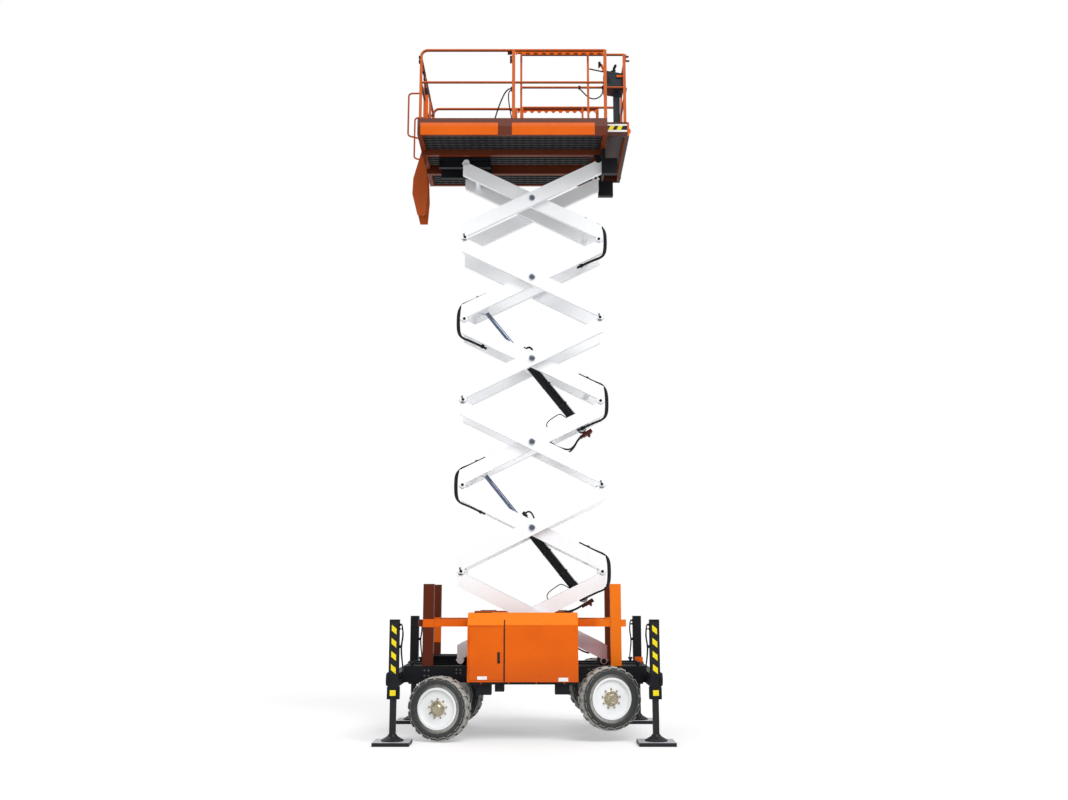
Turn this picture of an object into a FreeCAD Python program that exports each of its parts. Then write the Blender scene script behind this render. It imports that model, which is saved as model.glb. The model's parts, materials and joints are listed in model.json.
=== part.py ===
"""Rough-terrain scissor lift standing on four levelling jacks, in millimetres.

X runs along the machine to the end with the stack's fixed pins, Y across it to the far
side, Z is up. The origin is on the ground in the middle of the four jack pads.
"""

import FreeCAD
import Part
import math
import os

Vector = FreeCAD.Vector

# Scissor stack: pin-to-pin arm length, number of crosses, and angles of the pin line
ARM_LENGTH = 2230.0
LEVELS = 6
REST_ANGLE = 31.5
STOW_ANGLE = 5.6
RAISED_ANGLE = 43.0
BASE_PIN_X = 1043.0
BASE_PIN_Z = 957.0

# Arm section, and the distance from an arm's centre line to its end pins
ARM_DEPTH = 190.0
ARM_WIDTH = 80.0
PIN_OFFSET = 105.0
INNER_ARM_Y = 302.0
ARM_SIDE_GAP = 10.0
ARM_OVERHANG = 45.0
ARM_NOSE_ANGLE = 44.0

# Pins, the half-lapped lugs that they join, and the rollers at the foot and head
LUG_RADIUS = 45.0
LUG_CLEARANCE = 10.0
LUG_GAP = 1.0
PIN_RADIUS = 22.0
PIN_HEAD_RADIUS = 30.0
PIN_HEAD = 12.0
CENTRE_PIN_RADIUS = 30.0
CENTRE_HEAD_RADIUS = 42.0
CENTRE_PIN_REACH = 8.0
RUNNING_FIT = 0.05
SIDE_PLAY = 1.0
CROSS_TUBE_ALONG = 880.0
CROSS_TUBE_RADIUS = 38.0
ROLLER_RADIUS = 48.0
ROLLER_WIDTH = 54.0
ROLLER_GAP = 10.0
ROLLER_AXLE_RADIUS = 23.0
TRACK_WALL = 9.0
TRACK_FIT = 0.5
TRACK_SIDE_PLAY = 5.0
TRACK_END_ROOM = 25.0

# Lift cylinders: base eye and rod eye, measured along the arm from its centre pin
CYL_BASE_ALONG = 720.0
CYL_BASE_BELOW = 170.0
CYL_ROD_ALONG = 780.0
CYL_ROD_ABOVE = 20.0
BARREL_RADIUS = 62.0
BARREL_LENGTH = 1400.0
BARREL_FOOT = 120.0
BARREL_EYE_RADIUS = 58.0
GLAND_STEP = 4.0
GLAND_LENGTH = 70.0
ROD_RADIUS = 30.0
ROD_INSERTED = 500.0
ROD_EYE_RADIUS = 44.0
ROD_EYE_WIDTH = 70.0
CLEVIS_PLATE = 15.0
CLEVIS_FIT = 0.3
CLEVIS_RADIUS = 50.0
CLEVIS_ROOT_INSET = 2.0
CYL_PIN_RADIUS = 25.0
CYL_PIN_END = 6.0

# Chassis
RAIL_Y = 625.0
RAIL_WIDTH = 130.0
RAIL_TOP = 906.0
RAIL_BOTTOM = 700.0
INNER_RAIL_WIDTH = 60.0
CROSS_MEMBER_WIDTH = 90.0
CROSS_MEMBER_TOP = 800.0
CROSS_MEMBERS_X = (-1330.0, -700.0, -60.0, BASE_PIN_X, 1330.0)
JACK_X = 1630.0
JACK_Y = 1300.0
END_BEAM_WIDTH = 120.0
END_BEAM_BOTTOM = 690.0
END_BEAM_TOP = 850.0
BRACKET_LENGTH = 130.0

# Upright posts beside the stack, with the bars between them
POST_LEFT_X = -1265.0
POST_RIGHT_X = 1192.0
POST_WIDTH = 140.0
POST_DEPTH = 120.0
POST_TOP = 1954.0
BAR_Z = 1450.0
BAR_SIZE = 90.0
BAR_END = 22.0

# Side covers, doors and the trays that carry them
COVER_LEFT = -725.0
COVER_RIGHT = 680.0
COVER_INNER_Y = 700.0
COVER_OUTER_Y = 1160.0
COVER_BOTTOM = 735.0
COVER_SHOULDER = 1438.0
COVER_TOP = 1587.0
COVER_SLOPE = 140.0
COVER_WALL = 25.0
ARCH_LENGTH = 130.0
ARCH_TOP = 965.0
ARCH_SKIN = 50.0
DOOR_RIGHT = -263.0
DOOR_MARGIN = 20.0
DOOR_GAP = 3.0
HINGE_RADIUS = 9.0
HINGE_PIN_RADIUS = 4.0
HINGE_KNUCKLE = 35.0
HINGE_LEAF = 18.0
HINGE_GAP = 0.3
HINGES_Z = (850.0, 1230.0)
HANDLE_INSET = 45.0
HANDLE_WIDTH = 28.0
HANDLE_DEPTH = 12.0
HANDLE_Z = 985.0
HANDLE_HEIGHT = 115.0
SILL_THICKNESS = 30.0
SILL_INSET = 20.0
SILL_LEFT_INSET = 25.0
SILL_BOX_Y = (820.0, 1100.0)
SILL_BOXES = ((-605.0, -420.0, 575.0), (-375.0, -258.0, 615.0), (385.0, 570.0, 580.0))
ENGINE_LENGTH = 760.0
ENGINE_WIDTH = 330.0
ENGINE_HEIGHT = 520.0
ENGINE_ROOM = 25.0

# Jacks
HOUSING_SIZE = 120.0
HOUSING_WALL = 8.0
HOUSING_BOTTOM = 543.0
HOUSING_TOP = 1509.0
GUIDE_SIZE = 150.0
GUIDE_TOP = 690.0
GUIDE_FIT = 0.3
GUIDE_PLATE = 25.0
LEG_SIZE = 76.0
LEG_TOP = 1180.0
EAR_RADIUS = 78.0
EAR_THICKNESS = 30.0
EAR_Z = 780.0
PAD_SIZE = 455.0
PAD_THICKNESS = 45.0
FOOT_RADIUS = 140.0
FOOT_RIM = 14.0
FOOT_NECK_RADIUS = 50.0
FOOT_COLLAR_RADIUS = 64.0
FOOT_COLLAR = 22.0
FOOT_HEIGHT = 80.0

# Axles and steering
AXLE_X = 1040.0
WHEEL_Z_LEFT = 407.0
WHEEL_Z_RIGHT = 530.0
KINGPIN_Y = 870.0
KINGPIN_RADIUS = 25.0
KINGPIN_END = 10.0
STEER_REST = 15.0
AXLE_SIZE = 120.0
AXLE_END_Y = 790.0
YOKE_INNER = 75.0
YOKE_PLATE = 25.0
YOKE_RADIUS = 48.0
YOKE_ROOT = 60.0
HANGER_WIDTH = 150.0
STEER_ARM = 180.0
STEER_ARM_INSET = 35.0
STEER_ARM_THICKNESS = 24.0
TIE_ROD_RADIUS = 14.0
TIE_END_RADIUS = 26.0
TIE_END_HEIGHT = 36.0
TIE_STUD_RADIUS = 10.0
TIE_STUD_END = 4.0
TIE_OPEN_FIT = 4.0
MOTOR_RADIUS = 85.0
NECK_REACH = 68.0
NECK_OVERLAP = 5.0
SPINDLE_RADIUS = 30.0

# Wheels: the tyre's carcass has flat sides, its lugs stand in two staggered rows
WHEEL_OFFSET = 140.0
TYRE_RADIUS = 395.0
TYRE_WIDTH = 240.0
TYRE_SIDES = 32
CARCASS_RADIUS = 376.0
SHOULDER_RADIUS = 350.0
SHOULDER_INSET = 5.0
BULGE_RADIUS = 305.0
TREAD_HALF_WIDTH = 98.0
TYRE_LUGS = 16
TYRE_LUG_WIDTH = 78.0
TYRE_LUG_SKEW = 26.0
TYRE_LUG_INSIDE = 8.0
TYRE_LUG_ROOT = 30.0
RIM_RADIUS = 240.0
RIM_WIDTH = 210.0
RIM_LIP_RADIUS = 258.0
RIM_LIP = 12.0
RIM_WALL = 8.0
DISC_OUTSIDE = 70.0
DISC_THICKNESS = 12.0
DISC_CURVE = 12.0
HUB_RADIUS = 80.0
HUB_FLANGE = 14.0
HUB_REACH = 58.0
HUB_CAP_RADIUS = 50.0
HUB_CAP = 20.0

# Platform, measured up from the top pins of the stack
PLATFORM_PAST_ARM = 313.0
PLATFORM_RIGHT = 1140.0
PLATFORM_HALF_WIDTH = 1070.0
FRAME_BOTTOM = 119.0
DECK_TOP = 257.0
DECK_PLATE = 10.0
TOE_TOP = 364.0
TOE_THICKNESS = 12.0
MID_RAIL = 908.0
TOP_RAIL = 1390.0
SIDE_MEMBER = 60.0
CROSS_BAR = 50.0
CROSS_BAR_DEPTH = 60.0
CROSS_BARS = 6
PIVOT_BEAM_WIDTH = 80.0
PIVOT_BEAM_BOTTOM = 66.0
BRACKET_SET_BACK = 28.0

# Switch boxes that hang outboard of the platform's pinned brackets
SWITCH_BOX_X = (1088.0, 1310.0)
SWITCH_BOX_Y = (440.0, 540.0)
SWITCH_BOX_DROP = (248.0, 21.0)
SWITCH_HANGER = 50.0

# Guard rails, grab handles and gate, with heights measured up from the top pins
RAIL_TUBE_RADIUS = 20.0
MID_TUBE_RADIUS = 17.0
RAIL_CORNER = 90.0
RAIL_SEAT = 2.0
END_RAIL_DROP = 110.0
POST_TUBE = 44.0
POST_CAP = 4.0
MID_POST_X = -166.0
GATE_HALF_WIDTH = 450.0
GATE_FRAME_GAP = 6.0
GATE_TUBE_RADIUS = 16.0
GATE_BAR_RADIUS = 12.0
GATE_CORNER = 50.0
GATE_CLEAR_OF_DECK = 40.0
GATE_COLLAR = 8.0
GATE_COLLAR_HEIGHT = 60.0
GATE_COLLARS_Z = (377.0, 1028.0)
GATE_LEAF = 10.0
GRAB_RADIUS = 12.5
GRAB_REACH = 230.0
GRAB_TOP = 1000.0
GRAB_BOTTOM = 290.0
GRAB_SLOPE = 60.0
GRAB_CORNER = 50.0

# Roll-out extension of the deck
EXT_LEFT = -100.0
EXT_RIGHT = 1450.0
EXT_HALF_WIDTH = 968.0
SEAT_GAP = 0.3
EXT_DECK = 25.0
EXT_TOE_TOP = 345.0
EXT_TOP_RAIL = 1372.0
EXT_MID_RAIL = 876.0
EXT_TUBE_RADIUS = 18.0
EXT_MID_TUBE_RADIUS = 16.0
EXT_FIRST_POST = 40.0
EXT_THIN_POST_X = 882.0
EXT_THICK_POST_X = 1395.0
EXT_THIN_POST = 30.0
EXT_THICK_POST = 40.0
EXT_NOSE_BOTTOM = 140.0
EXT_NOSE_WALL = 45.0

# Control box on its pedestal
CONTROL_LEFT = 1110.0
CONTROL_RIGHT = 1380.0
CONTROL_RAIL_GAP = 5.0
CONTROL_DEPTH = 250.0
CONTROL_BOTTOM = 840.0
CONTROL_TOP = 1150.0
CONTROL_SLOPE = 50.0
CONTROL_UNDERCUT = 40.0
PEDESTAL_X = 1290.0
PEDESTAL_SIZE = 90.0
STICK_RADIUS = 14.0
STICK_HEIGHT = 110.0
STICK_LEAN = 25.0
STICK_X = 1250.0

# Boarding ladder: its side plates' width at three heights, and its rungs
LADDER_HALF_WIDTH = 220.0
LADDER_PLATE = 12.0
LADDER_FOOT = 770.0
LADDER_KNEE = 450.0
LADDER_NECK = 210.0
LADDER_TOP_OUT = 20.0
LADDER_NECK_OUT = 130.0
LADDER_KNEE_OUT = 140.0
LADDER_FOOT_OUT = 60.0
LADDER_FOOT_IN = 50.0
LADDER_KNEE_IN = 75.0
LADDER_ROOT_IN = 60.0
RUNG_RADIUS = 15.0
RUNGS = ((35.0, 30.0), (45.0, 330.0), (10.0, 650.0))

HALF = ARM_LENGTH / 2
TILT = math.degrees(math.asin(PIN_OFFSET / HALF))
CROSS_HEIGHT = ARM_LENGTH * math.sin(math.radians(REST_ANGLE))
CROSS_WIDTH = ARM_LENGTH * math.cos(math.radians(REST_ANGLE))
STACK_X = BASE_PIN_X - CROSS_WIDTH / 2
TOP_PIN_Z = BASE_PIN_Z + LEVELS * CROSS_HEIGHT
OUTER_ARM_Y = INNER_ARM_Y + ARM_WIDTH + ARM_SIDE_GAP
INNER_FACE_Y = INNER_ARM_Y - ARM_WIDTH / 2
ROLLER_OUT_Y = INNER_FACE_Y - ROLLER_GAP
TRACK_LIP_Y = ROLLER_OUT_Y + TRACK_SIDE_PLAY
TRACK_BACK_Y = ROLLER_OUT_Y - ROLLER_WIDTH - TRACK_SIDE_PLAY - TRACK_WALL
TRACK_HALF_HEIGHT = ROLLER_RADIUS + TRACK_FIT + TRACK_WALL
GLAND_RADIUS = BARREL_RADIUS + GLAND_STEP
PLATFORM_LEFT = BASE_PIN_X - ARM_LENGTH - PLATFORM_PAST_ARM
DECK_Z = TOP_PIN_Z + DECK_TOP
DECK_UNDER_Z = DECK_Z - DECK_PLATE
EXT_DECK_Z = DECK_Z + SEAT_GAP + EXT_DECK
EXT_RAIL_Y = EXT_HALF_WIDTH - TOE_THICKNESS - EXT_TUBE_RADIUS - RAIL_SEAT
CONTROL_NEAR_Y = -EXT_RAIL_Y + EXT_THICK_POST / 2 + CONTROL_RAIL_GAP
SIDE_RAIL_Y = PLATFORM_HALF_WIDTH - TOE_THICKNESS - RAIL_TUBE_RADIUS - RAIL_SEAT
END_RAIL_X = PLATFORM_LEFT + TOE_THICKNESS + RAIL_TUBE_RADIUS + RAIL_SEAT

NEAR_FAR = (("near", -1), ("far", 1))

# Ends of the machine: name, direction along X, axle height and rest steering angle
ENDS = (("left", -1, WHEEL_Z_LEFT, -STEER_REST), ("right", 1, WHEEL_Z_RIGHT, STEER_REST))


def box(x0, x1, y0, y1, z0, z1):
    """Box between opposite corners given in any order."""
    low = Vector(min(x0, x1), min(y0, y1), min(z0, z1))
    return Part.makeBox(abs(x1 - x0), abs(y1 - y0), abs(z1 - z0), low)


def square_bar(x, y, side, z0, z1):
    """Upright square bar about a point in X and Y."""
    half = side / 2
    return box(x - half, x + half, y - half, y + half, z0, z1)


def rod(start, end, radius):
    """Round bar between two points."""
    along = end.sub(start)
    return Part.makeCylinder(radius, along.Length, start, along)


def across(x, z, radius, y0, y1):
    """Round bar along Y."""
    return rod(Vector(x, y0, z), Vector(x, y1, z), radius)


def upright(x, y, radius, z0, z1):
    """Round bar along Z."""
    return rod(Vector(x, y, z0), Vector(x, y, z1), radius)


def prism(points, along):
    """Closed outline pushed along a vector."""
    wire = Part.makePolygon(points + points[:1])
    return Part.Face(wire).extrude(along)


def plate_xz(points, y0, y1):
    """Plate with an outline in X and Z, between two Y planes."""
    return prism([Vector(x, y0, z) for x, z in points], Vector(0, y1 - y0, 0))


def plate_yz(points, x0, x1):
    """Plate with an outline in Y and Z, between two X planes."""
    return prism([Vector(x0, y, z) for y, z in points], Vector(x1 - x0, 0, 0))


def join(shapes):
    """One solid from pieces that overlap or touch."""
    return shapes[0].multiFuse(shapes[1:]).removeSplitter()


def set_of(shapes):
    """Several solids of one node that stay apart."""
    solids = []
    for shape in shapes:
        solids.extend(shape.Solids)
    return Part.makeCompound(solids)


def bent_tube(points, radius, bend):
    """Round tube along a route whose corners are arcs of one bend radius."""
    edges = []
    start = points[0]
    for before, corner, after in zip(points, points[1:], points[2:]):
        back = before.sub(corner).normalize()
        ahead = after.sub(corner).normalize()
        half_turn = math.acos(max(-1.0, min(1.0, back.dot(ahead)))) / 2
        trim = bend / math.tan(half_turn)
        first = corner.add(back * trim)
        last = corner.add(ahead * trim)
        to_centre = back.add(ahead).normalize()
        centre = corner.add(to_centre * (bend / math.sin(half_turn)))
        middle = centre.sub(to_centre * bend)
        edges.append(Part.LineSegment(start, first).toShape())
        edges.append(Part.Arc(first, middle, last).toShape())
        start = last
    edges.append(Part.LineSegment(start, points[-1]).toShape())
    ring = Part.Circle(points[0], points[1].sub(points[0]), radius).toShape()
    return Part.Wire(edges).makePipeShell([Part.Wire([ring])], True, False)


def mirror_y(shape):
    return shape.mirror(Vector(0, 0, 0), Vector(0, 1, 0))


def save(name, shape):
    """Write one node's file and say what it holds."""
    shape.exportStep("parts/" + name + ".step")
    bounds = shape.BoundBox
    size = (round(bounds.XLength), round(bounds.YLength), round(bounds.ZLength))
    print(name, len(shape.Solids), size, "valid" if shape.isValid() else "NOT VALID")


def cross_z(level):
    """Height of a cross's centre pin, level 1 being the top one."""
    return BASE_PIN_Z + (LEVELS - level + 0.5) * CROSS_HEIGHT


def arm_outline():
    """Side outline of an arm in its own frame: along the tube, and square to it."""
    end_cut = math.radians(REST_ANGLE - TILT)
    nose = math.radians(ARM_NOSE_ANGLE)
    edge = PIN_OFFSET - ARM_DEPTH / 2
    pin_along = HALF * math.cos(math.radians(TILT))
    reach = ARM_OVERHANG - edge * math.sin(end_cut)
    nose_out = reach / (math.cos(end_cut) + math.tan(nose) * math.sin(end_cut))
    nose_up = edge + nose_out * math.tan(nose)
    back = (ARM_OVERHANG - (edge + ARM_DEPTH) * math.sin(end_cut)) / math.cos(end_cut)
    low_end = [(0.0, edge), (nose_out, nose_up), (back, edge + ARM_DEPTH)]
    lower = [(-pin_along - out, up - PIN_OFFSET) for out, up in low_end]
    upper = [(-along, -square) for along, square in lower]
    return [lower[0], upper[2], upper[1], upper[0], lower[2], lower[1]]


def arm_body(y_mid):
    """Closed box section about its centre pin, lower end to the left, pin line level."""
    half_width = ARM_WIDTH / 2
    body = plate_xz(arm_outline(), y_mid - half_width, y_mid + half_width)
    body.rotate(Vector(0, 0, 0), Vector(0, 1, 0), TILT)
    return body


def lug(x, y0, y1):
    """Eye plate round an end pin, its root running up into the arm."""
    root = plate_xz([(x - LUG_RADIUS, 0), (x - LUG_RADIUS, LUG_RADIUS),
                     (x + LUG_RADIUS / 2, LUG_RADIUS), (x + LUG_RADIUS / 2, 0)], y0, y1)
    return root.fuse(across(x, 0, LUG_RADIUS, y0, y1))


def headed_pin(x, z, start, tip):
    """Pin along Y from a seat to its tip, with a head beyond the tip's running play."""
    outward = 1 if tip > start else -1
    play_end = tip + outward * SIDE_PLAY
    pin = across(x, z, PIN_RADIUS, start, play_end)
    return pin.fuse(across(x, z, PIN_HEAD_RADIUS, play_end, play_end + outward * PIN_HEAD))


def scissor_arm(side, y_mid, pin_out, bored_centre):
    """Arm with its half-lapped ends, on the near or far side of the machine.

    The lower end's lug fills the outer half of the arm's width, the upper end's the inner
    half. Pins sit in the upper end's lug and reach out through the next arm's lower lug.
    """
    outer = side * (y_mid + ARM_WIDTH / 2)
    inner = side * (y_mid - ARM_WIDTH / 2)
    lap_out = side * (y_mid + LUG_GAP / 2)
    lap_in = side * (y_mid - LUG_GAP / 2)
    pocket = LUG_RADIUS + LUG_CLEARANCE
    bore = PIN_RADIUS + RUNNING_FIT
    arm = arm_body(side * y_mid)
    arm = arm.cut(across(-HALF, 0, pocket, inner, lap_out))
    arm = arm.cut(across(HALF, 0, pocket, lap_in, outer))
    high_lug = lug(-HALF, lap_in, inner)
    high_lug.rotate(Vector(0, 0, 0), Vector(0, 1, 0), 180)
    arm = join([arm, lug(-HALF, lap_out, outer), high_lug])
    arm = arm.cut(across(-HALF, 0, bore, inner - side, outer + side))
    if pin_out:
        arm = arm.fuse(headed_pin(HALF, 0, inner, outer))
    else:
        arm = arm.cut(across(HALF, 0, bore, inner - side, outer + side))
    if bored_centre:
        bore_radius = CENTRE_PIN_RADIUS + RUNNING_FIT
        return arm.cut(across(0, 0, bore_radius, inner - side, outer + side))
    reach = side * (INNER_FACE_Y + CENTRE_PIN_REACH)
    pin = across(0, 0, CENTRE_PIN_RADIUS, reach, outer)
    head = across(0, 0, CENTRE_HEAD_RADIUS, outer, outer + side * PIN_HEAD)
    return join([arm, pin, head])


def roller(x, side):
    """Roller inside an inner arm's end, with the axle that holds it."""
    roller_out = side * ROLLER_OUT_Y
    roller_in = side * (ROLLER_OUT_Y - ROLLER_WIDTH)
    axle_end = side * (INNER_ARM_Y + ARM_WIDTH / 2 if x < 0 else INNER_ARM_Y)
    return [across(x, 0, ROLLER_RADIUS, roller_in, roller_out),
            across(x, 0, ROLLER_AXLE_RADIUS, roller_in, axle_end)]


def tube_off_line():
    """How far the cross tubes at the low end lie off the pin line, on the arm's own axis."""
    return CROSS_TUBE_ALONG * math.tan(math.radians(TILT))


def cross_tube(sign):
    """Tube between the two inner arms, on the arms' own centre line."""
    return across(sign * CROSS_TUBE_ALONG, -sign * tube_off_line(), CROSS_TUBE_RADIUS,
                  -INNER_FACE_Y, INNER_FACE_Y)


def clevis(x, z, root_x, root_z, plate_y):
    """Pair of plates that hold a cylinder's eye, from the cross tube to the eye's pin."""
    along = Vector(root_x - x, 0, root_z - z)
    square = Vector(-along.z, 0, along.x).normalize()
    root = CROSS_TUBE_RADIUS - CLEVIS_ROOT_INSET
    corners = [(x + square.x * CLEVIS_RADIUS, z + square.z * CLEVIS_RADIUS),
               (root_x + square.x * root, root_z + square.z * root),
               (root_x - square.x * root, root_z - square.z * root),
               (x - square.x * CLEVIS_RADIUS, z - square.z * CLEVIS_RADIUS)]
    plates = []
    for side in (-1, 1):
        y0 = side * plate_y
        y1 = side * (plate_y + CLEVIS_PLATE)
        plates.append(plate_xz(corners, y0, y1).fuse(across(x, z, CLEVIS_RADIUS, y0, y1)))
    return plates


def base_clevis():
    """Plates under a right-leaning frame for a barrel's eye, bored for the barrel's pin."""
    plates = clevis(CYL_BASE_ALONG, -CYL_BASE_BELOW, CROSS_TUBE_ALONG, -tube_off_line(),
                    GLAND_RADIUS)
    reach = GLAND_RADIUS + CLEVIS_PLATE
    bore = across(CYL_BASE_ALONG, -CYL_BASE_BELOW, CYL_PIN_RADIUS + RUNNING_FIT, -reach, reach)
    return [plate.cut(bore) for plate in plates]


def rod_clevis():
    """Plates over a right-leaning frame for a rod's eye, open between them for its drift.

    The pin's two ends stand out of the plates. Its middle is left out, so that the eye,
    which follows the lift by fixed ratios, has room to leave the pin's axis.
    """
    plate_y = ROD_EYE_WIDTH / 2 + CLEVIS_FIT
    plate_out = plate_y + CLEVIS_PLATE
    pieces = clevis(-CYL_ROD_ALONG, CYL_ROD_ABOVE, -CROSS_TUBE_ALONG, tube_off_line(), plate_y)
    for side in (-1, 1):
        pieces.append(across(-CYL_ROD_ALONG, CYL_ROD_ABOVE, CYL_PIN_RADIUS,
                             side * plate_out, side * (plate_out + CYL_PIN_END)))
    return pieces


def inner_frame(level):
    """Inner pair of arms of one cross, welded into a frame by its cross tubes."""
    leans_right = level % 2 == 0
    pieces = [cross_tube(-1), cross_tube(1)]
    for name, side in NEAR_FAR:
        pieces.append(scissor_arm(side, INNER_ARM_Y, level != 1, True))
        if level == 1:
            pieces.extend(roller(HALF, side))
        if level == LEVELS:
            pieces.extend(roller(-HALF, side))
    if leans_right and level > 2:
        pieces.extend(base_clevis())
    if leans_right and level < LEVELS:
        pieces.extend(rod_clevis())
    return place_in_stack(join(pieces), level, leans_right)


def outer_frame(level):
    """Outer pair of arms of one cross."""
    arms = [scissor_arm(side, OUTER_ARM_Y, level != 1, False) for name, side in NEAR_FAR]
    return place_in_stack(set_of(arms), level, level % 2 == 1)


def place_in_stack(shape, level, leans_right):
    """Turn a level frame to its rest angle and move it to its cross."""
    shape.rotate(Vector(0, 0, 0), Vector(0, 1, 0), -REST_ANGLE)
    if not leans_right:
        shape = shape.mirror(Vector(0, 0, 0), Vector(1, 0, 0))
    shape.translate(Vector(STACK_X, 0, cross_z(level)))
    return shape


def on_right_leaning_arm(level, along, up):
    """Point given along and above the pin line of an arm that rises to the right."""
    angle = math.radians(REST_ANGLE)
    return Vector(STACK_X + along * math.cos(angle) - up * math.sin(angle), 0,
                  cross_z(level) + along * math.sin(angle) + up * math.cos(angle))


def lift_cylinder(base_level):
    """Barrel and rod of one lift cylinder, between two right-leaning inner frames."""
    base = on_right_leaning_arm(base_level, CYL_BASE_ALONG, -CYL_BASE_BELOW)
    eye = on_right_leaning_arm(base_level - 2, -CYL_ROD_ALONG, CYL_ROD_ABOVE)
    length = eye.sub(base).Length
    face = GLAND_RADIUS - CLEVIS_FIT
    pin_end = GLAND_RADIUS + CLEVIS_PLATE + CYL_PIN_END
    barrel = join([upright(0, 0, BARREL_RADIUS, BARREL_EYE_RADIUS, BARREL_LENGTH),
                   upright(0, 0, GLAND_RADIUS, BARREL_LENGTH - GLAND_LENGTH, BARREL_LENGTH),
                   box(-BARREL_EYE_RADIUS, BARREL_EYE_RADIUS, -face, face, 0, BARREL_FOOT / 2),
                   across(0, 0, BARREL_EYE_RADIUS, -face, face),
                   across(0, 0, CYL_PIN_RADIUS, -pin_end, pin_end)])
    bore = upright(0, 0, ROD_RADIUS + RUNNING_FIT, BARREL_FOOT, BARREL_LENGTH + 1)
    barrel = barrel.cut(bore)
    half_eye = ROD_EYE_WIDTH / 2
    shaft = upright(0, 0, ROD_RADIUS, BARREL_LENGTH - ROD_INSERTED, length)
    rod_piece = join([shaft, across(0, length, ROD_EYE_RADIUS, -half_eye, half_eye)])
    rod_piece = rod_piece.cut(across(0, length, CYL_PIN_RADIUS + RUNNING_FIT,
                                     -half_eye - 1, half_eye + 1))
    lean = math.degrees(math.atan2(eye.x - base.x, eye.z - base.z))
    for piece in (barrel, rod_piece):
        piece.rotate(Vector(0, 0, 0), Vector(0, 1, 0), lean)
        piece.translate(base)
    return barrel, rod_piece


def track_ends():
    """Both ends of the roller tracks, past the rollers' places stowed and fully raised."""
    room = ROLLER_RADIUS + TRACK_END_ROOM + TRACK_WALL
    stowed = BASE_PIN_X - ARM_LENGTH * math.cos(math.radians(STOW_ANGLE))
    raised = BASE_PIN_X - ARM_LENGTH * math.cos(math.radians(RAISED_ANGLE))
    return stowed - room, raised + room


def roller_track(z_mid, side):
    """Channel round the rollers, open towards the inner arms."""
    x0, x1 = track_ends()
    half_inside = ROLLER_RADIUS + TRACK_FIT
    block = box(x0, x1, side * TRACK_BACK_Y, side * TRACK_LIP_Y,
                z_mid - TRACK_HALF_HEIGHT, z_mid + TRACK_HALF_HEIGHT)
    inside = box(x0 + TRACK_WALL, x1 - TRACK_WALL, side * (TRACK_BACK_Y + TRACK_WALL),
                 side * (TRACK_LIP_Y + 1), z_mid - half_inside, z_mid + half_inside)
    return block.cut(inside)


def chassis():
    """Closed main rails, inner rails under the tracks, cross members, end beams."""
    beam_inside = JACK_X - END_BEAM_WIDTH / 2
    beam_outside = JACK_X + END_BEAM_WIDTH / 2
    beam_end = JACK_Y - HOUSING_SIZE / 2
    rail_in = RAIL_Y - RAIL_WIDTH / 2
    rail_out = RAIL_Y + RAIL_WIDTH / 2
    pieces = []
    for end in (-1, 1):
        pieces.append(box(end * beam_inside, end * beam_outside, -beam_end, beam_end,
                          END_BEAM_BOTTOM, END_BEAM_TOP))
    for name, side in NEAR_FAR:
        pieces.append(box(-beam_inside, beam_inside, side * rail_in, side * rail_out,
                          RAIL_BOTTOM, RAIL_TOP))
        pieces.append(box(-beam_inside, beam_inside, side * TRACK_BACK_Y,
                          side * (TRACK_BACK_Y + INNER_RAIL_WIDTH), RAIL_BOTTOM,
                          BASE_PIN_Z - TRACK_HALF_HEIGHT))
    half_member = CROSS_MEMBER_WIDTH / 2
    for x in CROSS_MEMBERS_X:
        pieces.append(box(x - half_member, x + half_member, -rail_in, rail_in,
                          RAIL_BOTTOM, CROSS_MEMBER_TOP))
    return join(pieces)


def stack_base():
    """What the stack stands on: its fixed pins' brackets and the lower roller tracks."""
    pieces = []
    half = BRACKET_LENGTH / 2
    for name, side in NEAR_FAR:
        inner_face = side * (OUTER_ARM_Y - ARM_WIDTH / 2)
        lap_in = side * (OUTER_ARM_Y - LUG_GAP / 2)
        foot = plate_xz([(BASE_PIN_X - half, CROSS_MEMBER_TOP),
                         (BASE_PIN_X + half, CROSS_MEMBER_TOP),
                         (BASE_PIN_X + LUG_RADIUS, BASE_PIN_Z),
                         (BASE_PIN_X - LUG_RADIUS, BASE_PIN_Z)], inner_face, lap_in)
        eye = across(BASE_PIN_X, BASE_PIN_Z, LUG_RADIUS, inner_face, lap_in)
        pin = headed_pin(BASE_PIN_X, BASE_PIN_Z, inner_face, side * (OUTER_ARM_Y + ARM_WIDTH / 2))
        pieces.append(join([foot, eye, pin]))
        pieces.append(roller_track(BASE_PIN_Z, side))
    return set_of(pieces)


def switch_box(side):
    """Box hung from the platform's end member, outboard of one pinned bracket."""
    x0, x1 = SWITCH_BOX_X
    y0, y1 = (side * y for y in SWITCH_BOX_Y)
    low, high = (TOP_PIN_Z - drop for drop in SWITCH_BOX_DROP)
    hanger = box(x0, x0 + SWITCH_HANGER, y0, y1, high, TOP_PIN_Z + FRAME_BOTTOM)
    return join([box(x0, x1, y0, y1, low, high), hanger])


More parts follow.
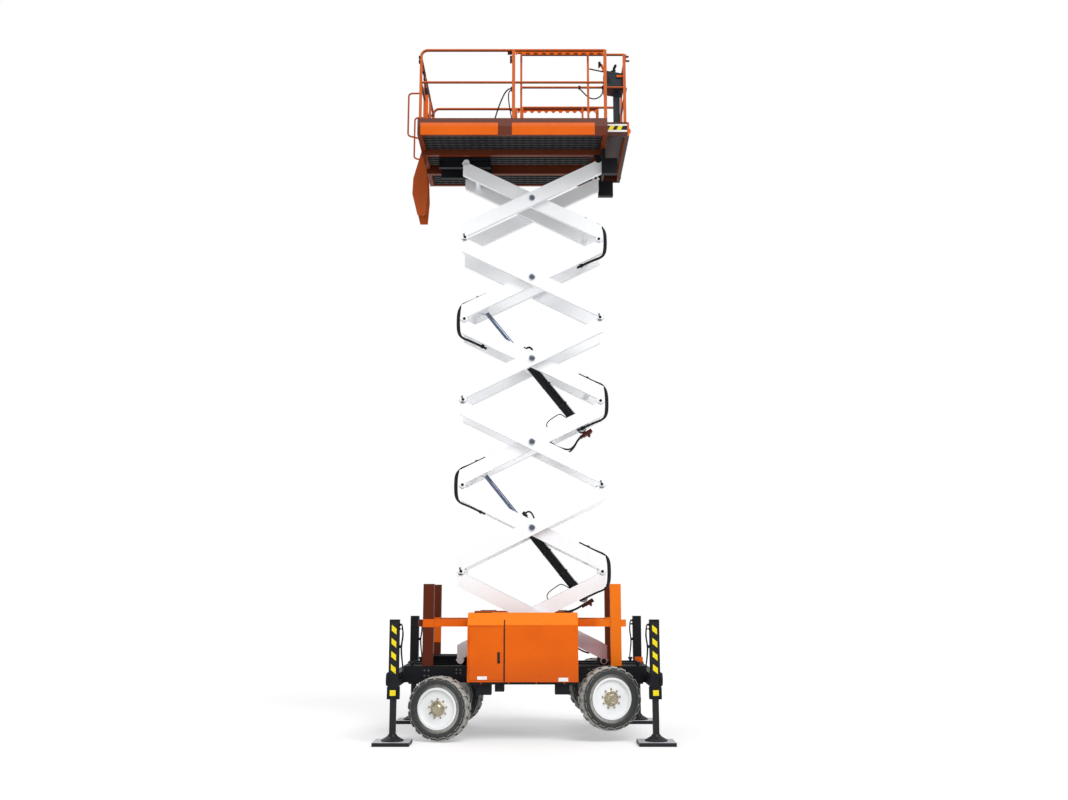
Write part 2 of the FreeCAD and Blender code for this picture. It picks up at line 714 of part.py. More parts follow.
def stack_head():
    """What carries the platform: pinned brackets, upper roller tracks, and switch boxes."""
    pieces = []
    z = TOP_PIN_Z
    half = BRACKET_LENGTH / 2
    x0, x1 = track_ends()
    for name, side in NEAR_FAR:
        lap_out = side * (OUTER_ARM_Y + LUG_GAP / 2)
        outer_face = side * (OUTER_ARM_Y + ARM_WIDTH / 2)
        pin_tip = side * (OUTER_ARM_Y - ARM_WIDTH / 2 - SIDE_PLAY)
        web = plate_xz([(BASE_PIN_X - LUG_RADIUS, z), (BASE_PIN_X + LUG_RADIUS, z),
                        (BASE_PIN_X + half - BRACKET_SET_BACK, z + PIVOT_BEAM_BOTTOM),
                        (BASE_PIN_X - half, z + PIVOT_BEAM_BOTTOM)], lap_out, outer_face)
        eye = across(BASE_PIN_X, z, LUG_RADIUS, lap_out, outer_face)
        pin = across(BASE_PIN_X, z, PIN_RADIUS, outer_face, pin_tip)
        above_beam = box(BASE_PIN_X - 2 * half, BASE_PIN_X + 2 * half, lap_out, outer_face,
                         z + PIVOT_BEAM_BOTTOM, z + DECK_TOP)
        pieces.append(join([web, eye, pin]).cut(above_beam))
        pieces.append(switch_box(side))
        hanger = box(x0, x1, side * TRACK_BACK_Y, side * TRACK_LIP_Y,
                     z + TRACK_HALF_HEIGHT, DECK_UNDER_Z - CROSS_BAR_DEPTH)
        pieces.append(join([roller_track(z, side), hanger]))
    return set_of(pieces)


def arch_box(inner_y, bottom, top):
    """Room for the steered tyre at a cover's right end, on the far side."""
    return box(COVER_RIGHT - ARCH_LENGTH, COVER_RIGHT + 1, inner_y,
               COVER_OUTER_Y - ARCH_SKIN, bottom, top)


def sills():
    """Trays that carry the side covers out from the rails, with the boxes under them."""
    rail_side = RAIL_Y + RAIL_WIDTH / 2
    tray_bottom = COVER_BOTTOM - SILL_THICKNESS
    pieces = [box(COVER_LEFT + SILL_LEFT_INSET, COVER_RIGHT, rail_side, COVER_OUTER_Y - SILL_INSET,
                  tray_bottom, COVER_BOTTOM)]
    for x0, x1, bottom in SILL_BOXES:
        pieces.append(box(x0, x1, SILL_BOX_Y[0], SILL_BOX_Y[1], bottom, tray_bottom))
    tray = join(pieces).cut(arch_box(COVER_INNER_Y, tray_bottom - 1, COVER_BOTTOM + 1))
    return set_of([tray, mirror_y(tray)])


def posts():
    """Four upright posts with the bar that joins each pair along the machine."""
    half_bar = BAR_SIZE / 2
    bar_left = POST_LEFT_X - POST_WIDTH / 2 - BAR_END
    bar_right = POST_RIGHT_X + POST_WIDTH / 2 + BAR_END
    sets = []
    for name, side in NEAR_FAR:
        y = side * RAIL_Y
        pieces = [box(bar_left, bar_right, y - half_bar, y + half_bar,
                      BAR_Z - half_bar, BAR_Z + half_bar)]
        for x in (POST_LEFT_X, POST_RIGHT_X):
            pieces.append(box(x - POST_WIDTH / 2, x + POST_WIDTH / 2, y - POST_DEPTH / 2,
                              y + POST_DEPTH / 2, RAIL_TOP, POST_TOP))
        for x in (bar_left, bar_right):
            pieces.append(upright(x, y, half_bar, BAR_Z - half_bar, BAR_Z + half_bar))
        sets.append(join(pieces))
    return set_of(sets)


def cover_outline(inset):
    """Section of a side cover in Y and Z, drawn in from its outer skin."""
    slope = (COVER_TOP - COVER_SHOULDER) / COVER_SLOPE
    lean = inset * (math.hypot(1, slope) - slope)
    top_corner = COVER_OUTER_Y - COVER_SLOPE
    return [(COVER_INNER_Y + inset, COVER_BOTTOM + inset),
            (COVER_OUTER_Y - inset, COVER_BOTTOM + inset),
            (COVER_OUTER_Y - inset, COVER_SHOULDER - lean * slope),
            (top_corner - inset * (math.hypot(1, slope) - 1) / slope, COVER_TOP - inset),
            (COVER_INNER_Y + inset, COVER_TOP - inset)]


def hinge_leaf(x0, x1, z0, z1):
    """Leaf of a door hinge on the outer skin."""
    return box(x0, x1, COVER_OUTER_Y - 1, COVER_OUTER_Y + HINGE_RADIUS / 2, z0, z1)


def cover():
    """Far side cover: hollow housing with its door opening and the wheel recess."""
    shell = plate_yz(cover_outline(0), COVER_LEFT, COVER_RIGHT)
    shell = shell.cut(plate_yz(cover_outline(COVER_WALL), COVER_LEFT + COVER_WALL,
                               COVER_RIGHT - COVER_WALL))
    liner = box(COVER_RIGHT - ARCH_LENGTH - COVER_WALL, COVER_RIGHT, COVER_INNER_Y,
                COVER_OUTER_Y - ARCH_SKIN + COVER_WALL, COVER_BOTTOM, ARCH_TOP + COVER_WALL)
    shell = shell.fuse(liner).cut(arch_box(COVER_INNER_Y - 1, COVER_BOTTOM - 1, ARCH_TOP))
    x0, x1, z0, z1 = door_opening()
    shell = shell.cut(box(x0, x1, COVER_OUTER_Y - COVER_WALL - 1, COVER_OUTER_Y + 1, z0, z1))
    pieces = [shell]
    y = COVER_OUTER_Y + HINGE_RADIUS
    for z in HINGES_Z:
        for low in (z, z + 2 * HINGE_KNUCKLE):
            high = low + HINGE_KNUCKLE
            pieces.append(upright(x0, y, HINGE_RADIUS, low, high))
            pieces.append(hinge_leaf(x0 - HINGE_LEAF, x0, low, high))
        pieces.append(upright(x0, y, HINGE_PIN_RADIUS, z, z + 3 * HINGE_KNUCKLE))
    return join(pieces)


def door_opening():
    return (COVER_LEFT + DOOR_MARGIN, DOOR_RIGHT,
            COVER_BOTTOM + DOOR_MARGIN, COVER_SHOULDER - DOOR_MARGIN)


def door():
    """Far cover's door with its hinge knuckles and handle."""
    x0, x1, z0, z1 = door_opening()
    handle_x = x1 - HANDLE_INSET
    pieces = [box(x0 + DOOR_GAP, x1 - DOOR_GAP, COVER_OUTER_Y - COVER_WALL, COVER_OUTER_Y,
                  z0 + DOOR_GAP, z1 - DOOR_GAP),
              box(handle_x - HANDLE_WIDTH / 2, handle_x + HANDLE_WIDTH / 2, COVER_OUTER_Y,
                  COVER_OUTER_Y + HANDLE_DEPTH, HANDLE_Z, HANDLE_Z + HANDLE_HEIGHT)]
    y = COVER_OUTER_Y + HINGE_RADIUS
    bores = []
    for z in HINGES_Z:
        low = z + HINGE_KNUCKLE + HINGE_GAP
        high = z + 2 * HINGE_KNUCKLE - HINGE_GAP
        pieces.append(upright(x0, y, HINGE_RADIUS, low, high))
        pieces.append(hinge_leaf(x0, x0 + HINGE_LEAF + DOOR_GAP, low, high))
        bores.append(upright(x0, y, HINGE_PIN_RADIUS + RUNNING_FIT, z, z + 3 * HINGE_KNUCKLE))
    return join(pieces).cut(bores)


def engine():
    """Engine, one plain block on the near cover's floor, clear of the wheel recess."""
    right = COVER_RIGHT - ARCH_LENGTH - COVER_WALL - ENGINE_ROOM
    y_mid = -(COVER_INNER_Y + COVER_OUTER_Y) / 2
    floor = COVER_BOTTOM + COVER_WALL
    return box(right - ENGINE_LENGTH, right, y_mid - ENGINE_WIDTH / 2,
               y_mid + ENGINE_WIDTH / 2, floor, floor + ENGINE_HEIGHT)


def corners():
    """Four corners of the machine: name, direction along X and along Y."""
    return [(name, sx, sy) for name, sx, sy, z, steer in wheel_places()]


def jack_housing(sx, sy):
    """Square tube that a levelling leg slides in, with its guide and round ear."""
    x = sx * JACK_X
    y = sy * JACK_Y
    half = HOUSING_SIZE / 2
    tube = square_bar(x, y, HOUSING_SIZE, HOUSING_BOTTOM, HOUSING_TOP)
    guide = box(x - GUIDE_SIZE / 2, x + GUIDE_SIZE / 2, y - half, y + half,
                HOUSING_BOTTOM, GUIDE_TOP)
    ear = rod(Vector(x + sx * half, y, EAR_Z),
              Vector(x + sx * (half + EAR_THICKNESS), y, EAR_Z), EAR_RADIUS)
    hollow = square_bar(x, y, HOUSING_SIZE - 2 * HOUSING_WALL,
                        HOUSING_BOTTOM + GUIDE_PLATE, HOUSING_TOP - HOUSING_WALL)
    hole = square_bar(x, y, LEG_SIZE + 2 * GUIDE_FIT, HOUSING_BOTTOM - 1,
                      HOUSING_BOTTOM + GUIDE_PLATE + 1)
    return join([tube, guide, ear]).cut(hollow).cut(hole)


def jack_leg(sx, sy):
    """Levelling leg with its foot, on the square pad that lies under it."""
    foot_top = PAD_THICKNESS + FOOT_HEIGHT
    profile = [(0, PAD_THICKNESS), (FOOT_RADIUS, PAD_THICKNESS),
               (FOOT_RADIUS, PAD_THICKNESS + FOOT_RIM),
               (FOOT_COLLAR_RADIUS, foot_top - FOOT_COLLAR),
               (FOOT_NECK_RADIUS, foot_top), (0, foot_top)]
    points = [Vector(radius, 0, z) for radius, z in profile]
    foot = Part.Face(Part.makePolygon(points + points[:1]))
    foot = foot.revolve(Vector(0, 0, 0), Vector(0, 0, 1), 360)
    pad = square_bar(0, 0, PAD_SIZE, 0, PAD_THICKNESS)
    leg = square_bar(0, 0, LEG_SIZE, foot_top - FOOT_COLLAR, LEG_TOP)
    shape = join([foot, leg, pad])
    shape.translate(Vector(sx * JACK_X, sy * JACK_Y, 0))
    return shape


def wheel_places():
    """Each wheel: name, end of the machine, side, axle height and rest steering angle."""
    return [(name_x + "_" + name_y, sx, sy, z, steer) for name_x, sx, z, steer in ENDS
            for name_y, sy in NEAR_FAR]


def to_wheel(shape, sx, sy, z, steer):
    """Carry a shape drawn at a far wheel's kingpin, out along +Y, to its own corner."""
    placed = mirror_y(shape) if sy < 0 else shape.copy()
    placed.rotate(Vector(0, 0, 0), Vector(0, 0, 1), steer)
    placed.translate(Vector(sx * AXLE_X, sy * KINGPIN_Y, z))
    return placed


def flat_sided_ring(radius, y):
    """Closed wire of the carcass's flats at one place across the tyre."""
    points = []
    for number in range(TYRE_SIDES + 1):
        angle = 2 * math.pi * number / TYRE_SIDES
        points.append(Vector(radius * math.cos(angle), y, radius * math.sin(angle)))
    return Part.makePolygon(points)


def tyre_lug(row, number):
    """Slanted lug from the middle of the tread out over the shoulder."""
    outer = row * TYRE_WIDTH / 2
    inner = row * TYRE_LUG_INSIDE
    half = TYRE_LUG_WIDTH / 2
    root = CARCASS_RADIUS - TYRE_LUG_ROOT
    outline = [Vector(-half + TYRE_LUG_SKEW, inner, root), Vector(TYRE_LUG_SKEW, inner, root),
               Vector(half, outer, root), Vector(0, outer, root)]
    bar = prism(outline, Vector(0, 0, TYRE_RADIUS - root))
    stagger = 0.5 if row > 0 else 0.0
    bar.rotate(Vector(0, 0, 0), Vector(0, 1, 0), (number + stagger) * 360 / TYRE_LUGS)
    return bar


def tyre():
    """Carcass as a ruled loft across the tyre, with two staggered rows of lugs."""
    bead = RIM_WIDTH / 2 - RIM_LIP
    half = TYRE_WIDTH / 2
    round_flats = 1 / math.cos(math.pi / TYRE_SIDES)
    stations = [((RIM_LIP_RADIUS + SEAT_GAP) * round_flats, bead), (BULGE_RADIUS, half),
                (SHOULDER_RADIUS, half - SHOULDER_INSET), (CARCASS_RADIUS, TREAD_HALF_WIDTH)]
    across_tyre = [(radius, -y) for radius, y in stations]
    across_tyre += [(radius, y) for radius, y in reversed(stations)]
    wires = [flat_sided_ring(radius, y) for radius, y in across_tyre]
    carcass = Part.makeLoft(wires, True, True)
    lugs = [tyre_lug(row, number) for row in (-1, 1) for number in range(TYRE_LUGS)]
    shape = join([carcass] + lugs)
    seat = flat_sided_ring(RIM_RADIUS * round_flats, -half)
    shape = shape.cut(Part.Face(seat).extrude(Vector(0, TYRE_WIDTH, 0)))
    shape.translate(Vector(0, WHEEL_OFFSET, 0))
    return shape


def rim():
    """Dished wheel disc with its barrel and drive hub."""
    half = RIM_WIDTH / 2
    lip_in = half - RIM_LIP
    barrel = RIM_RADIUS - RIM_WALL
    bore = SPINDLE_RADIUS + RUNNING_FIT
    hub_out = DISC_OUTSIDE + HUB_REACH
    profile = [(bore, DISC_OUTSIDE - DISC_THICKNESS), (barrel, DISC_OUTSIDE - DISC_THICKNESS),
               (barrel, -half), (RIM_LIP_RADIUS, -half), (RIM_LIP_RADIUS, -lip_in),
               (RIM_RADIUS, -lip_in), (RIM_RADIUS, lip_in), (RIM_LIP_RADIUS, lip_in),
               (RIM_LIP_RADIUS, half), (barrel, half), (barrel - DISC_CURVE, DISC_OUTSIDE),
               (HUB_RADIUS + HUB_FLANGE, DISC_OUTSIDE), (HUB_RADIUS, DISC_OUTSIDE + HUB_FLANGE),
               (HUB_CAP_RADIUS, hub_out), (0, hub_out), (0, hub_out - HUB_CAP),
               (bore, hub_out - HUB_CAP)]
    points = [Vector(radius, y, 0) for radius, y in profile]
    face = Part.Face(Part.makePolygon(points + points[:1]))
    shape = face.revolve(Vector(0, 0, 0), Vector(0, 1, 0), 360)
    shape.translate(Vector(0, WHEEL_OFFSET, 0))
    return shape


def knuckle(sx):
    """Steering knuckle: kingpin boss, drive motor case, spindle and steering arm."""
    inner = YOKE_INNER - CLEVIS_FIT
    motor_end = WHEEL_OFFSET + DISC_OUTSIDE - DISC_THICKNESS - SIDE_PLAY
    spindle_end = WHEEL_OFFSET + DISC_OUTSIDE + HUB_REACH - HUB_CAP - SIDE_PLAY
    arm_x = -sx * STEER_ARM
    half_arm = STEER_ARM_THICKNESS / 2
    outline = [Vector(0, -YOKE_RADIUS, -half_arm), Vector(0, YOKE_RADIUS / 2, -half_arm),
               Vector(arm_x, -STEER_ARM_INSET + TIE_END_RADIUS, -half_arm),
               Vector(arm_x, -STEER_ARM_INSET - TIE_END_RADIUS, -half_arm)]
    stud_end = half_arm + SIDE_PLAY + TIE_END_HEIGHT + TIE_STUD_END
    shape = join([upright(0, 0, YOKE_RADIUS, -inner, inner),
                  box(-YOKE_RADIUS, YOKE_RADIUS, 0, NECK_REACH, -inner, inner),
                  across(0, 0, MOTOR_RADIUS, NECK_REACH - NECK_OVERLAP, motor_end),
                  across(0, 0, SPINDLE_RADIUS, motor_end, spindle_end),
                  prism(outline, Vector(0, 0, STEER_ARM_THICKNESS)),
                  upright(arm_x, -STEER_ARM_INSET, TIE_END_RADIUS, -half_arm, half_arm),
                  upright(arm_x, -STEER_ARM_INSET, TIE_STUD_RADIUS, half_arm, stud_end)])
    return shape.cut(upright(0, 0, KINGPIN_RADIUS + RUNNING_FIT, -inner - 1, inner + 1))


def ball_joint(sx, sy, steer):
    """Centre of a steering arm's eye, in X and Y."""
    angle = math.radians(steer)
    x = -sx * STEER_ARM
    y = -sy * STEER_ARM_INSET
    return (sx * AXLE_X + x * math.cos(angle) - y * math.sin(angle),
            sy * KINGPIN_Y + x * math.sin(angle) + y * math.cos(angle))


def tie_rod(sx, z, steer):
    """Rod that joins the two steering arms of an axle, lying on top of them.

    It turns on the near stud. Its far eye is bored wider, as both arms turn by one angle.
    """
    low = z + STEER_ARM_THICKNESS / 2 + SIDE_PLAY
    high = low + TIE_END_HEIGHT
    ends = [ball_joint(sx, sy, steer) for name, sy in NEAR_FAR]
    middles = [Vector(x, y, (low + high) / 2) for x, y in ends]
    pieces = [rod(middles[0], middles[1], TIE_ROD_RADIUS)]
    pieces += [upright(x, y, TIE_END_RADIUS, low, high) for x, y in ends]
    bores = [upright(x, y, TIE_STUD_RADIUS + fit, low - 1, high + 1)
             for (x, y), fit in zip(ends, (RUNNING_FIT, TIE_OPEN_FIT))]
    return join(pieces).cut(bores)


def axle(sx, z):
    """Axle beam with its yokes and kingpins, hung from the rails."""
    x = sx * AXLE_X
    half = AXLE_SIZE / 2
    yoke_top = YOKE_INNER + YOKE_PLATE
    pin_end = yoke_top + KINGPIN_END
    pieces = [box(x - half, x + half, -AXLE_END_Y, AXLE_END_Y, z - half, z + half)]
    for name, sy in NEAR_FAR:
        y_pin = sy * KINGPIN_Y
        y_root = sy * (AXLE_END_Y - YOKE_ROOT)
        for up in (-1, 1):
            z0 = z + up * YOKE_INNER
            z1 = z + up * yoke_top
            pieces.append(box(x - YOKE_RADIUS, x + YOKE_RADIUS, y_root, y_pin, z0, z1))
            pieces.append(upright(x, y_pin, YOKE_RADIUS, z0, z1))
        pieces.append(box(x - YOKE_RADIUS, x + YOKE_RADIUS, y_root, sy * AXLE_END_Y,
                          z - yoke_top, z + yoke_top))
        pieces.append(upright(x, y_pin, KINGPIN_RADIUS, z - pin_end, z + pin_end))
        pieces.append(plate_xz([(x - half, z), (x + half, z),
                                (x + HANGER_WIDTH / 2, RAIL_BOTTOM),
                                (x - HANGER_WIDTH / 2, RAIL_BOTTOM)],
                               sy * (RAIL_Y - RAIL_WIDTH / 2), sy * (RAIL_Y + RAIL_WIDTH / 2)))
    return join(pieces)


def platform_frame():
    """Frame under the deck: side and end members, cross bars, beams over the brackets."""
    z = TOP_PIN_Z
    half = PLATFORM_HALF_WIDTH
    beam_in = OUTER_ARM_Y - PIVOT_BEAM_WIDTH / 2
    beam_out = OUTER_ARM_Y + PIVOT_BEAM_WIDTH / 2
    pieces = []
    for x in (PLATFORM_LEFT, PLATFORM_RIGHT - SIDE_MEMBER):
        pieces.append(box(x, x + SIDE_MEMBER, -half, half, z + FRAME_BOTTOM, DECK_UNDER_Z))
    pitch = (PLATFORM_RIGHT - PLATFORM_LEFT - SIDE_MEMBER) / (CROSS_BARS + 1)
    for number in range(1, CROSS_BARS + 1):
        x = PLATFORM_LEFT + number * pitch
        pieces.append(box(x, x + CROSS_BAR, -half, half,
                          DECK_UNDER_Z - CROSS_BAR_DEPTH, DECK_UNDER_Z))
    for name, side in NEAR_FAR:
        pieces.append(box(PLATFORM_LEFT, PLATFORM_RIGHT, side * (half - SIDE_MEMBER),
                          side * half, z + FRAME_BOTTOM, DECK_UNDER_Z))
        pieces.append(box(PLATFORM_LEFT, PLATFORM_RIGHT, side * beam_in, side * beam_out,
                          z + PIVOT_BEAM_BOTTOM, DECK_UNDER_Z))
    return join(pieces)


def platform_deck():
    """Deck plate with its toe boards, open at the gate and towards the extension."""
    half = PLATFORM_HALF_WIDTH
    toe_z = TOP_PIN_Z + TOE_TOP
    beside_post = GATE_HALF_WIDTH + MID_TUBE_RADIUS + RAIL_SEAT
    pieces = [box(PLATFORM_LEFT, PLATFORM_RIGHT, -half, half, DECK_UNDER_Z, DECK_Z)]
    for name, side in NEAR_FAR:
        pieces.append(box(PLATFORM_LEFT, PLATFORM_RIGHT, side * (half - TOE_THICKNESS),
                          side * half, DECK_UNDER_Z, toe_z))
        pieces.append(box(PLATFORM_LEFT, PLATFORM_LEFT + TOE_THICKNESS,
                          side * beside_post, side * half, DECK_UNDER_Z, toe_z))
    return join(pieces)


def guard_rails():
    """Fixed guard rails along the near and far sides of the main deck."""
    z = TOP_PIN_Z
    right = PLATFORM_RIGHT - POST_TUBE / 2
    sets = []
    for name, side in NEAR_FAR:
        y = side * SIDE_RAIL_Y
        pieces = [bent_tube([Vector(END_RAIL_X, y, DECK_Z), Vector(END_RAIL_X, y, z + TOP_RAIL),
                             Vector(right, y, z + TOP_RAIL)], RAIL_TUBE_RADIUS, RAIL_CORNER),
                  rod(Vector(END_RAIL_X, y, z + MID_RAIL), Vector(right, y, z + MID_RAIL),
                      MID_TUBE_RADIUS)]
        for x in (MID_POST_X, right):
            pieces.append(square_bar(x, y, POST_TUBE, DECK_Z, z + TOP_RAIL + POST_CAP))
        sets.append(join(pieces))
    return set_of(sets)


def end_rails():
    """Gate posts with the rails that run from them to the corner posts."""
    z = TOP_PIN_Z
    end_top = z + TOP_RAIL - END_RAIL_DROP
    sets = []
    for name, side in NEAR_FAR:
        y = side * SIDE_RAIL_Y
        gate_y = side * GATE_HALF_WIDTH
        rails = bent_tube([Vector(END_RAIL_X, y, end_top), Vector(END_RAIL_X, gate_y, end_top),
                           Vector(END_RAIL_X, gate_y, DECK_Z)], MID_TUBE_RADIUS, RAIL_CORNER / 2)
        corner = Vector(END_RAIL_X, y, z + MID_RAIL)
        rails = join([rails, rod(corner, Vector(END_RAIL_X, gate_y, corner.z), MID_TUBE_RADIUS)])
        corner_post = upright(END_RAIL_X, y, RAIL_TUBE_RADIUS + SEAT_GAP, DECK_Z, z + TOP_RAIL)
        side_rail = rod(corner, Vector(MID_POST_X, y, corner.z), MID_TUBE_RADIUS + SEAT_GAP)
        sets.append(rails.cut([corner_post, side_rail]))
    return set_of([max(part.Solids, key=lambda solid: solid.Volume) for part in sets])


def grab_handles():
    """Bent handles outside the gate posts, seated on the posts."""
    z = TOP_PIN_Z
    reach = END_RAIL_X - GRAB_REACH
    sets = []
    for name, side in NEAR_FAR:
        y = side * GATE_HALF_WIDTH
        handle = bent_tube([Vector(END_RAIL_X, y, z + GRAB_TOP), Vector(reach, y, z + GRAB_TOP),
                            Vector(reach, y, z + GRAB_BOTTOM + GRAB_SLOPE),
                            Vector(END_RAIL_X, y, z + GRAB_BOTTOM)], GRAB_RADIUS, GRAB_CORNER)
        post = upright(END_RAIL_X, y, MID_TUBE_RADIUS + SEAT_GAP, DECK_Z, z + TOP_RAIL)
        sets.append(handle.cut(post))
    return set_of([max(part.Solids, key=lambda solid: solid.Volume) for part in sets])


def gate():
    """Half-height entry gate between the posts at the left end."""
    x = END_RAIL_X
    edge = GATE_HALF_WIDTH - RAIL_TUBE_RADIUS - GATE_FRAME_GAP - GATE_TUBE_RADIUS
    low = DECK_Z + GATE_CLEAR_OF_DECK
    high = TOP_PIN_Z + TOP_RAIL - END_RAIL_DROP
    pieces = [bent_tube([Vector(x, -edge, low), Vector(x, -edge, high),
                         Vector(x, edge, high), Vector(x, edge, low)],
                        GATE_TUBE_RADIUS, GATE_CORNER)]
    for height in (low + GATE_BAR_RADIUS, TOP_PIN_Z + MID_RAIL):
        pieces.append(rod(Vector(x, -edge, height), Vector(x, edge, height), GATE_BAR_RADIUS))
    for collar_z in GATE_COLLARS_Z:
        z0 = TOP_PIN_Z + collar_z
        z1 = z0 + GATE_COLLAR_HEIGHT
        pieces.append(upright(x, -GATE_HALF_WIDTH, MID_TUBE_RADIUS + GATE_COLLAR, z0, z1))
        pieces.append(box(x - GATE_LEAF, x + GATE_LEAF, -GATE_HALF_WIDTH, -edge, z0, z1))
    return join(pieces).cut(upright(x, -GATE_HALF_WIDTH, MID_TUBE_RADIUS + RUNNING_FIT,
                                    low, high))


def extension():
    """Roll-out deck with its toe boards, and a nose open underneath past the main deck."""
    low = DECK_Z + SEAT_GAP
    half = EXT_HALF_WIDTH
    toe_z = TOP_PIN_Z + EXT_TOE_TOP
    nose_left = PLATFORM_RIGHT + SEAT_GAP
    nose_low = TOP_PIN_Z + EXT_NOSE_BOTTOM
    nose = box(nose_left, EXT_RIGHT, -half, half, nose_low, EXT_DECK_Z)
    nose_room = box(nose_left + EXT_NOSE_WALL, EXT_RIGHT - EXT_NOSE_WALL,
                    EXT_NOSE_WALL - half, half - EXT_NOSE_WALL, nose_low - 1, low)
    pieces = [box(EXT_LEFT, EXT_RIGHT, -half, half, low, EXT_DECK_Z), nose.cut(nose_room),
              box(EXT_RIGHT - TOE_THICKNESS, EXT_RIGHT, -half, half, low, toe_z)]
    for name, side in NEAR_FAR:
        pieces.append(box(EXT_LEFT, EXT_RIGHT, side * (half - TOE_THICKNESS), side * half,
                          low, toe_z))
    return join(pieces)


def extension_rails():
    """Guard rails that ride on the roll-out deck."""
    y = EXT_RAIL_Y
    end = EXT_RIGHT - TOE_THICKNESS - EXT_TUBE_RADIUS - RAIL_SEAT
    start = EXT_LEFT + EXT_FIRST_POST
    top = TOP_PIN_Z + EXT_TOP_RAIL
    pieces = []
    for height, radius in ((top, EXT_TUBE_RADIUS), (TOP_PIN_Z + EXT_MID_RAIL, EXT_MID_TUBE_RADIUS)):
        pieces.append(bent_tube([Vector(start, -y, height), Vector(end, -y, height),
                                 Vector(end, y, height), Vector(start, y, height)],
                                radius, RAIL_CORNER / 2))
    for name, side in NEAR_FAR:
        for x, size in ((start, EXT_THIN_POST), (EXT_THIN_POST_X, EXT_THIN_POST),
                        (EXT_THICK_POST_X, EXT_THICK_POST)):
            pieces.append(square_bar(x, side * y, size, EXT_DECK_Z, top))
    pieces.append(square_bar(end, 0, EXT_THIN_POST, EXT_DECK_Z, top))
    return join(pieces)


def control_box():
    """Control box with its stick, on a pedestal at the near corner of the extension."""
    z = TOP_PIN_Z
    far_y = CONTROL_NEAR_Y + CONTROL_DEPTH
    middle = (CONTROL_NEAR_Y + far_y) / 2
    stick_foot = z + CONTROL_TOP - CONTROL_SLOPE
    body = plate_xz([(CONTROL_LEFT, z + CONTROL_BOTTOM + CONTROL_UNDERCUT),
                     (CONTROL_RIGHT, z + CONTROL_BOTTOM),
                     (CONTROL_RIGHT, z + CONTROL_TOP - CONTROL_SLOPE),
                     (CONTROL_LEFT, z + CONTROL_TOP)], CONTROL_NEAR_Y, far_y)
    pedestal = square_bar(PEDESTAL_X, middle, PEDESTAL_SIZE, EXT_DECK_Z,
                          z + CONTROL_BOTTOM + CONTROL_UNDERCUT)
    stick = rod(Vector(STICK_X, middle, stick_foot),
                Vector(STICK_X + STICK_LEAN, middle, stick_foot + STICK_HEIGHT), STICK_RADIUS)
    return join([body, pedestal, stick])


def ladder():
    """Boarding ladder hung under the gate, kinked inwards at its foot."""
    z = TOP_PIN_Z
    left = PLATFORM_LEFT
    seat = left - SEAT_GAP
    deck_side = z + (FRAME_BOTTOM + DECK_TOP) / 2
    outline = [(seat, z + FRAME_BOTTOM), (seat, deck_side), (left - LADDER_TOP_OUT, deck_side),
               (left - LADDER_NECK_OUT, z - LADDER_NECK),
               (left - LADDER_KNEE_OUT, z - LADDER_KNEE),
               (left - LADDER_FOOT_OUT, z - LADDER_FOOT),
               (left + LADDER_FOOT_IN, z - LADDER_FOOT),
               (left + LADDER_KNEE_IN, z - LADDER_KNEE),
               (left + LADDER_ROOT_IN, z + FRAME_BOTTOM - LADDER_NECK)]
    pieces = []
    for side in (-1, 1):
        pieces.append(plate_xz(outline, side * LADDER_HALF_WIDTH,
                               side * (LADDER_HALF_WIDTH + LADDER_PLATE)))
    reach = LADDER_HALF_WIDTH + 1
    for out, down in RUNGS:
        pieces.append(across(left - out, z - down, RUNG_RADIUS, -reach, reach))
    return join(pieces)


def main():
    os.makedirs("parts", exist_ok=True)
    save("chassis_frame", chassis())
    save("stack_base", stack_base())
    save("sill_trays", sills())
    save("rest_posts", posts())
    far_cover = cover()
    far_door = door()
    save("cover_far", far_cover)
    save("cover_near", mirror_y(far_cover))
    save("door_far", far_door)
    save("door_near", mirror_y(far_door))
    save("engine_block", engine())
    save("jack_housings", set_of([jack_housing(sx, sy) for name, sx, sy in corners()]))
    for name, sx, sy in corners():
        save("jack_leg_" + name, jack_leg(sx, sy))
    for name, sx, z, steer in ENDS:
        save("axle_" + name, axle(sx, z))
        save("tie_rod_" + name, tie_rod(sx, z, steer))
    one_tyre = tyre()
    one_rim = rim()
    for name, sx, sy, z, steer in wheel_places():
        save("knuckle_" + name, to_wheel(knuckle(sx), sx, sy, z, steer))
        save("rim_" + name, to_wheel(one_rim, sx, sy, z, steer))
        save("tyre_" + name, to_wheel(one_tyre, sx, sy, z, steer))
    for level in range(1, LEVELS + 1):
        save("arms_outer_" + str(level), outer_frame(level))
        save("arms_inner_" + str(level), inner_frame(level))
    for name, level in (("lower", LEVELS), ("upper", LEVELS - 2)):
        barrel, piston_rod = lift_cylinder(level)
        save("cylinder_barrel_" + name, barrel)
        save("cylinder_rod_" + name, piston_rod)
    save("stack_head", stack_head())
    save("platform_frame", platform_frame())
    save("platform_deck", platform_deck())
    save("guard_rails", guard_rails())
    save("end_rails", end_rails())
    save("grab_handles", grab_handles())
    save("entry_gate", gate())
    save("extension_deck", extension())
    save("extension_rails", extension_rails())
    save("control_box", control_box())
    save("boarding_ladder", ladder())


main()
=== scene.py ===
"""Looks of the rough-terrain scissor lift: materials, trim, hoses, light and camera.

Metres, X along the machine, Y to its far side, Z up, origin on the ground between the pads.
"""

import json
import math

import bmesh
import bpy
from mathutils import Matrix, Vector


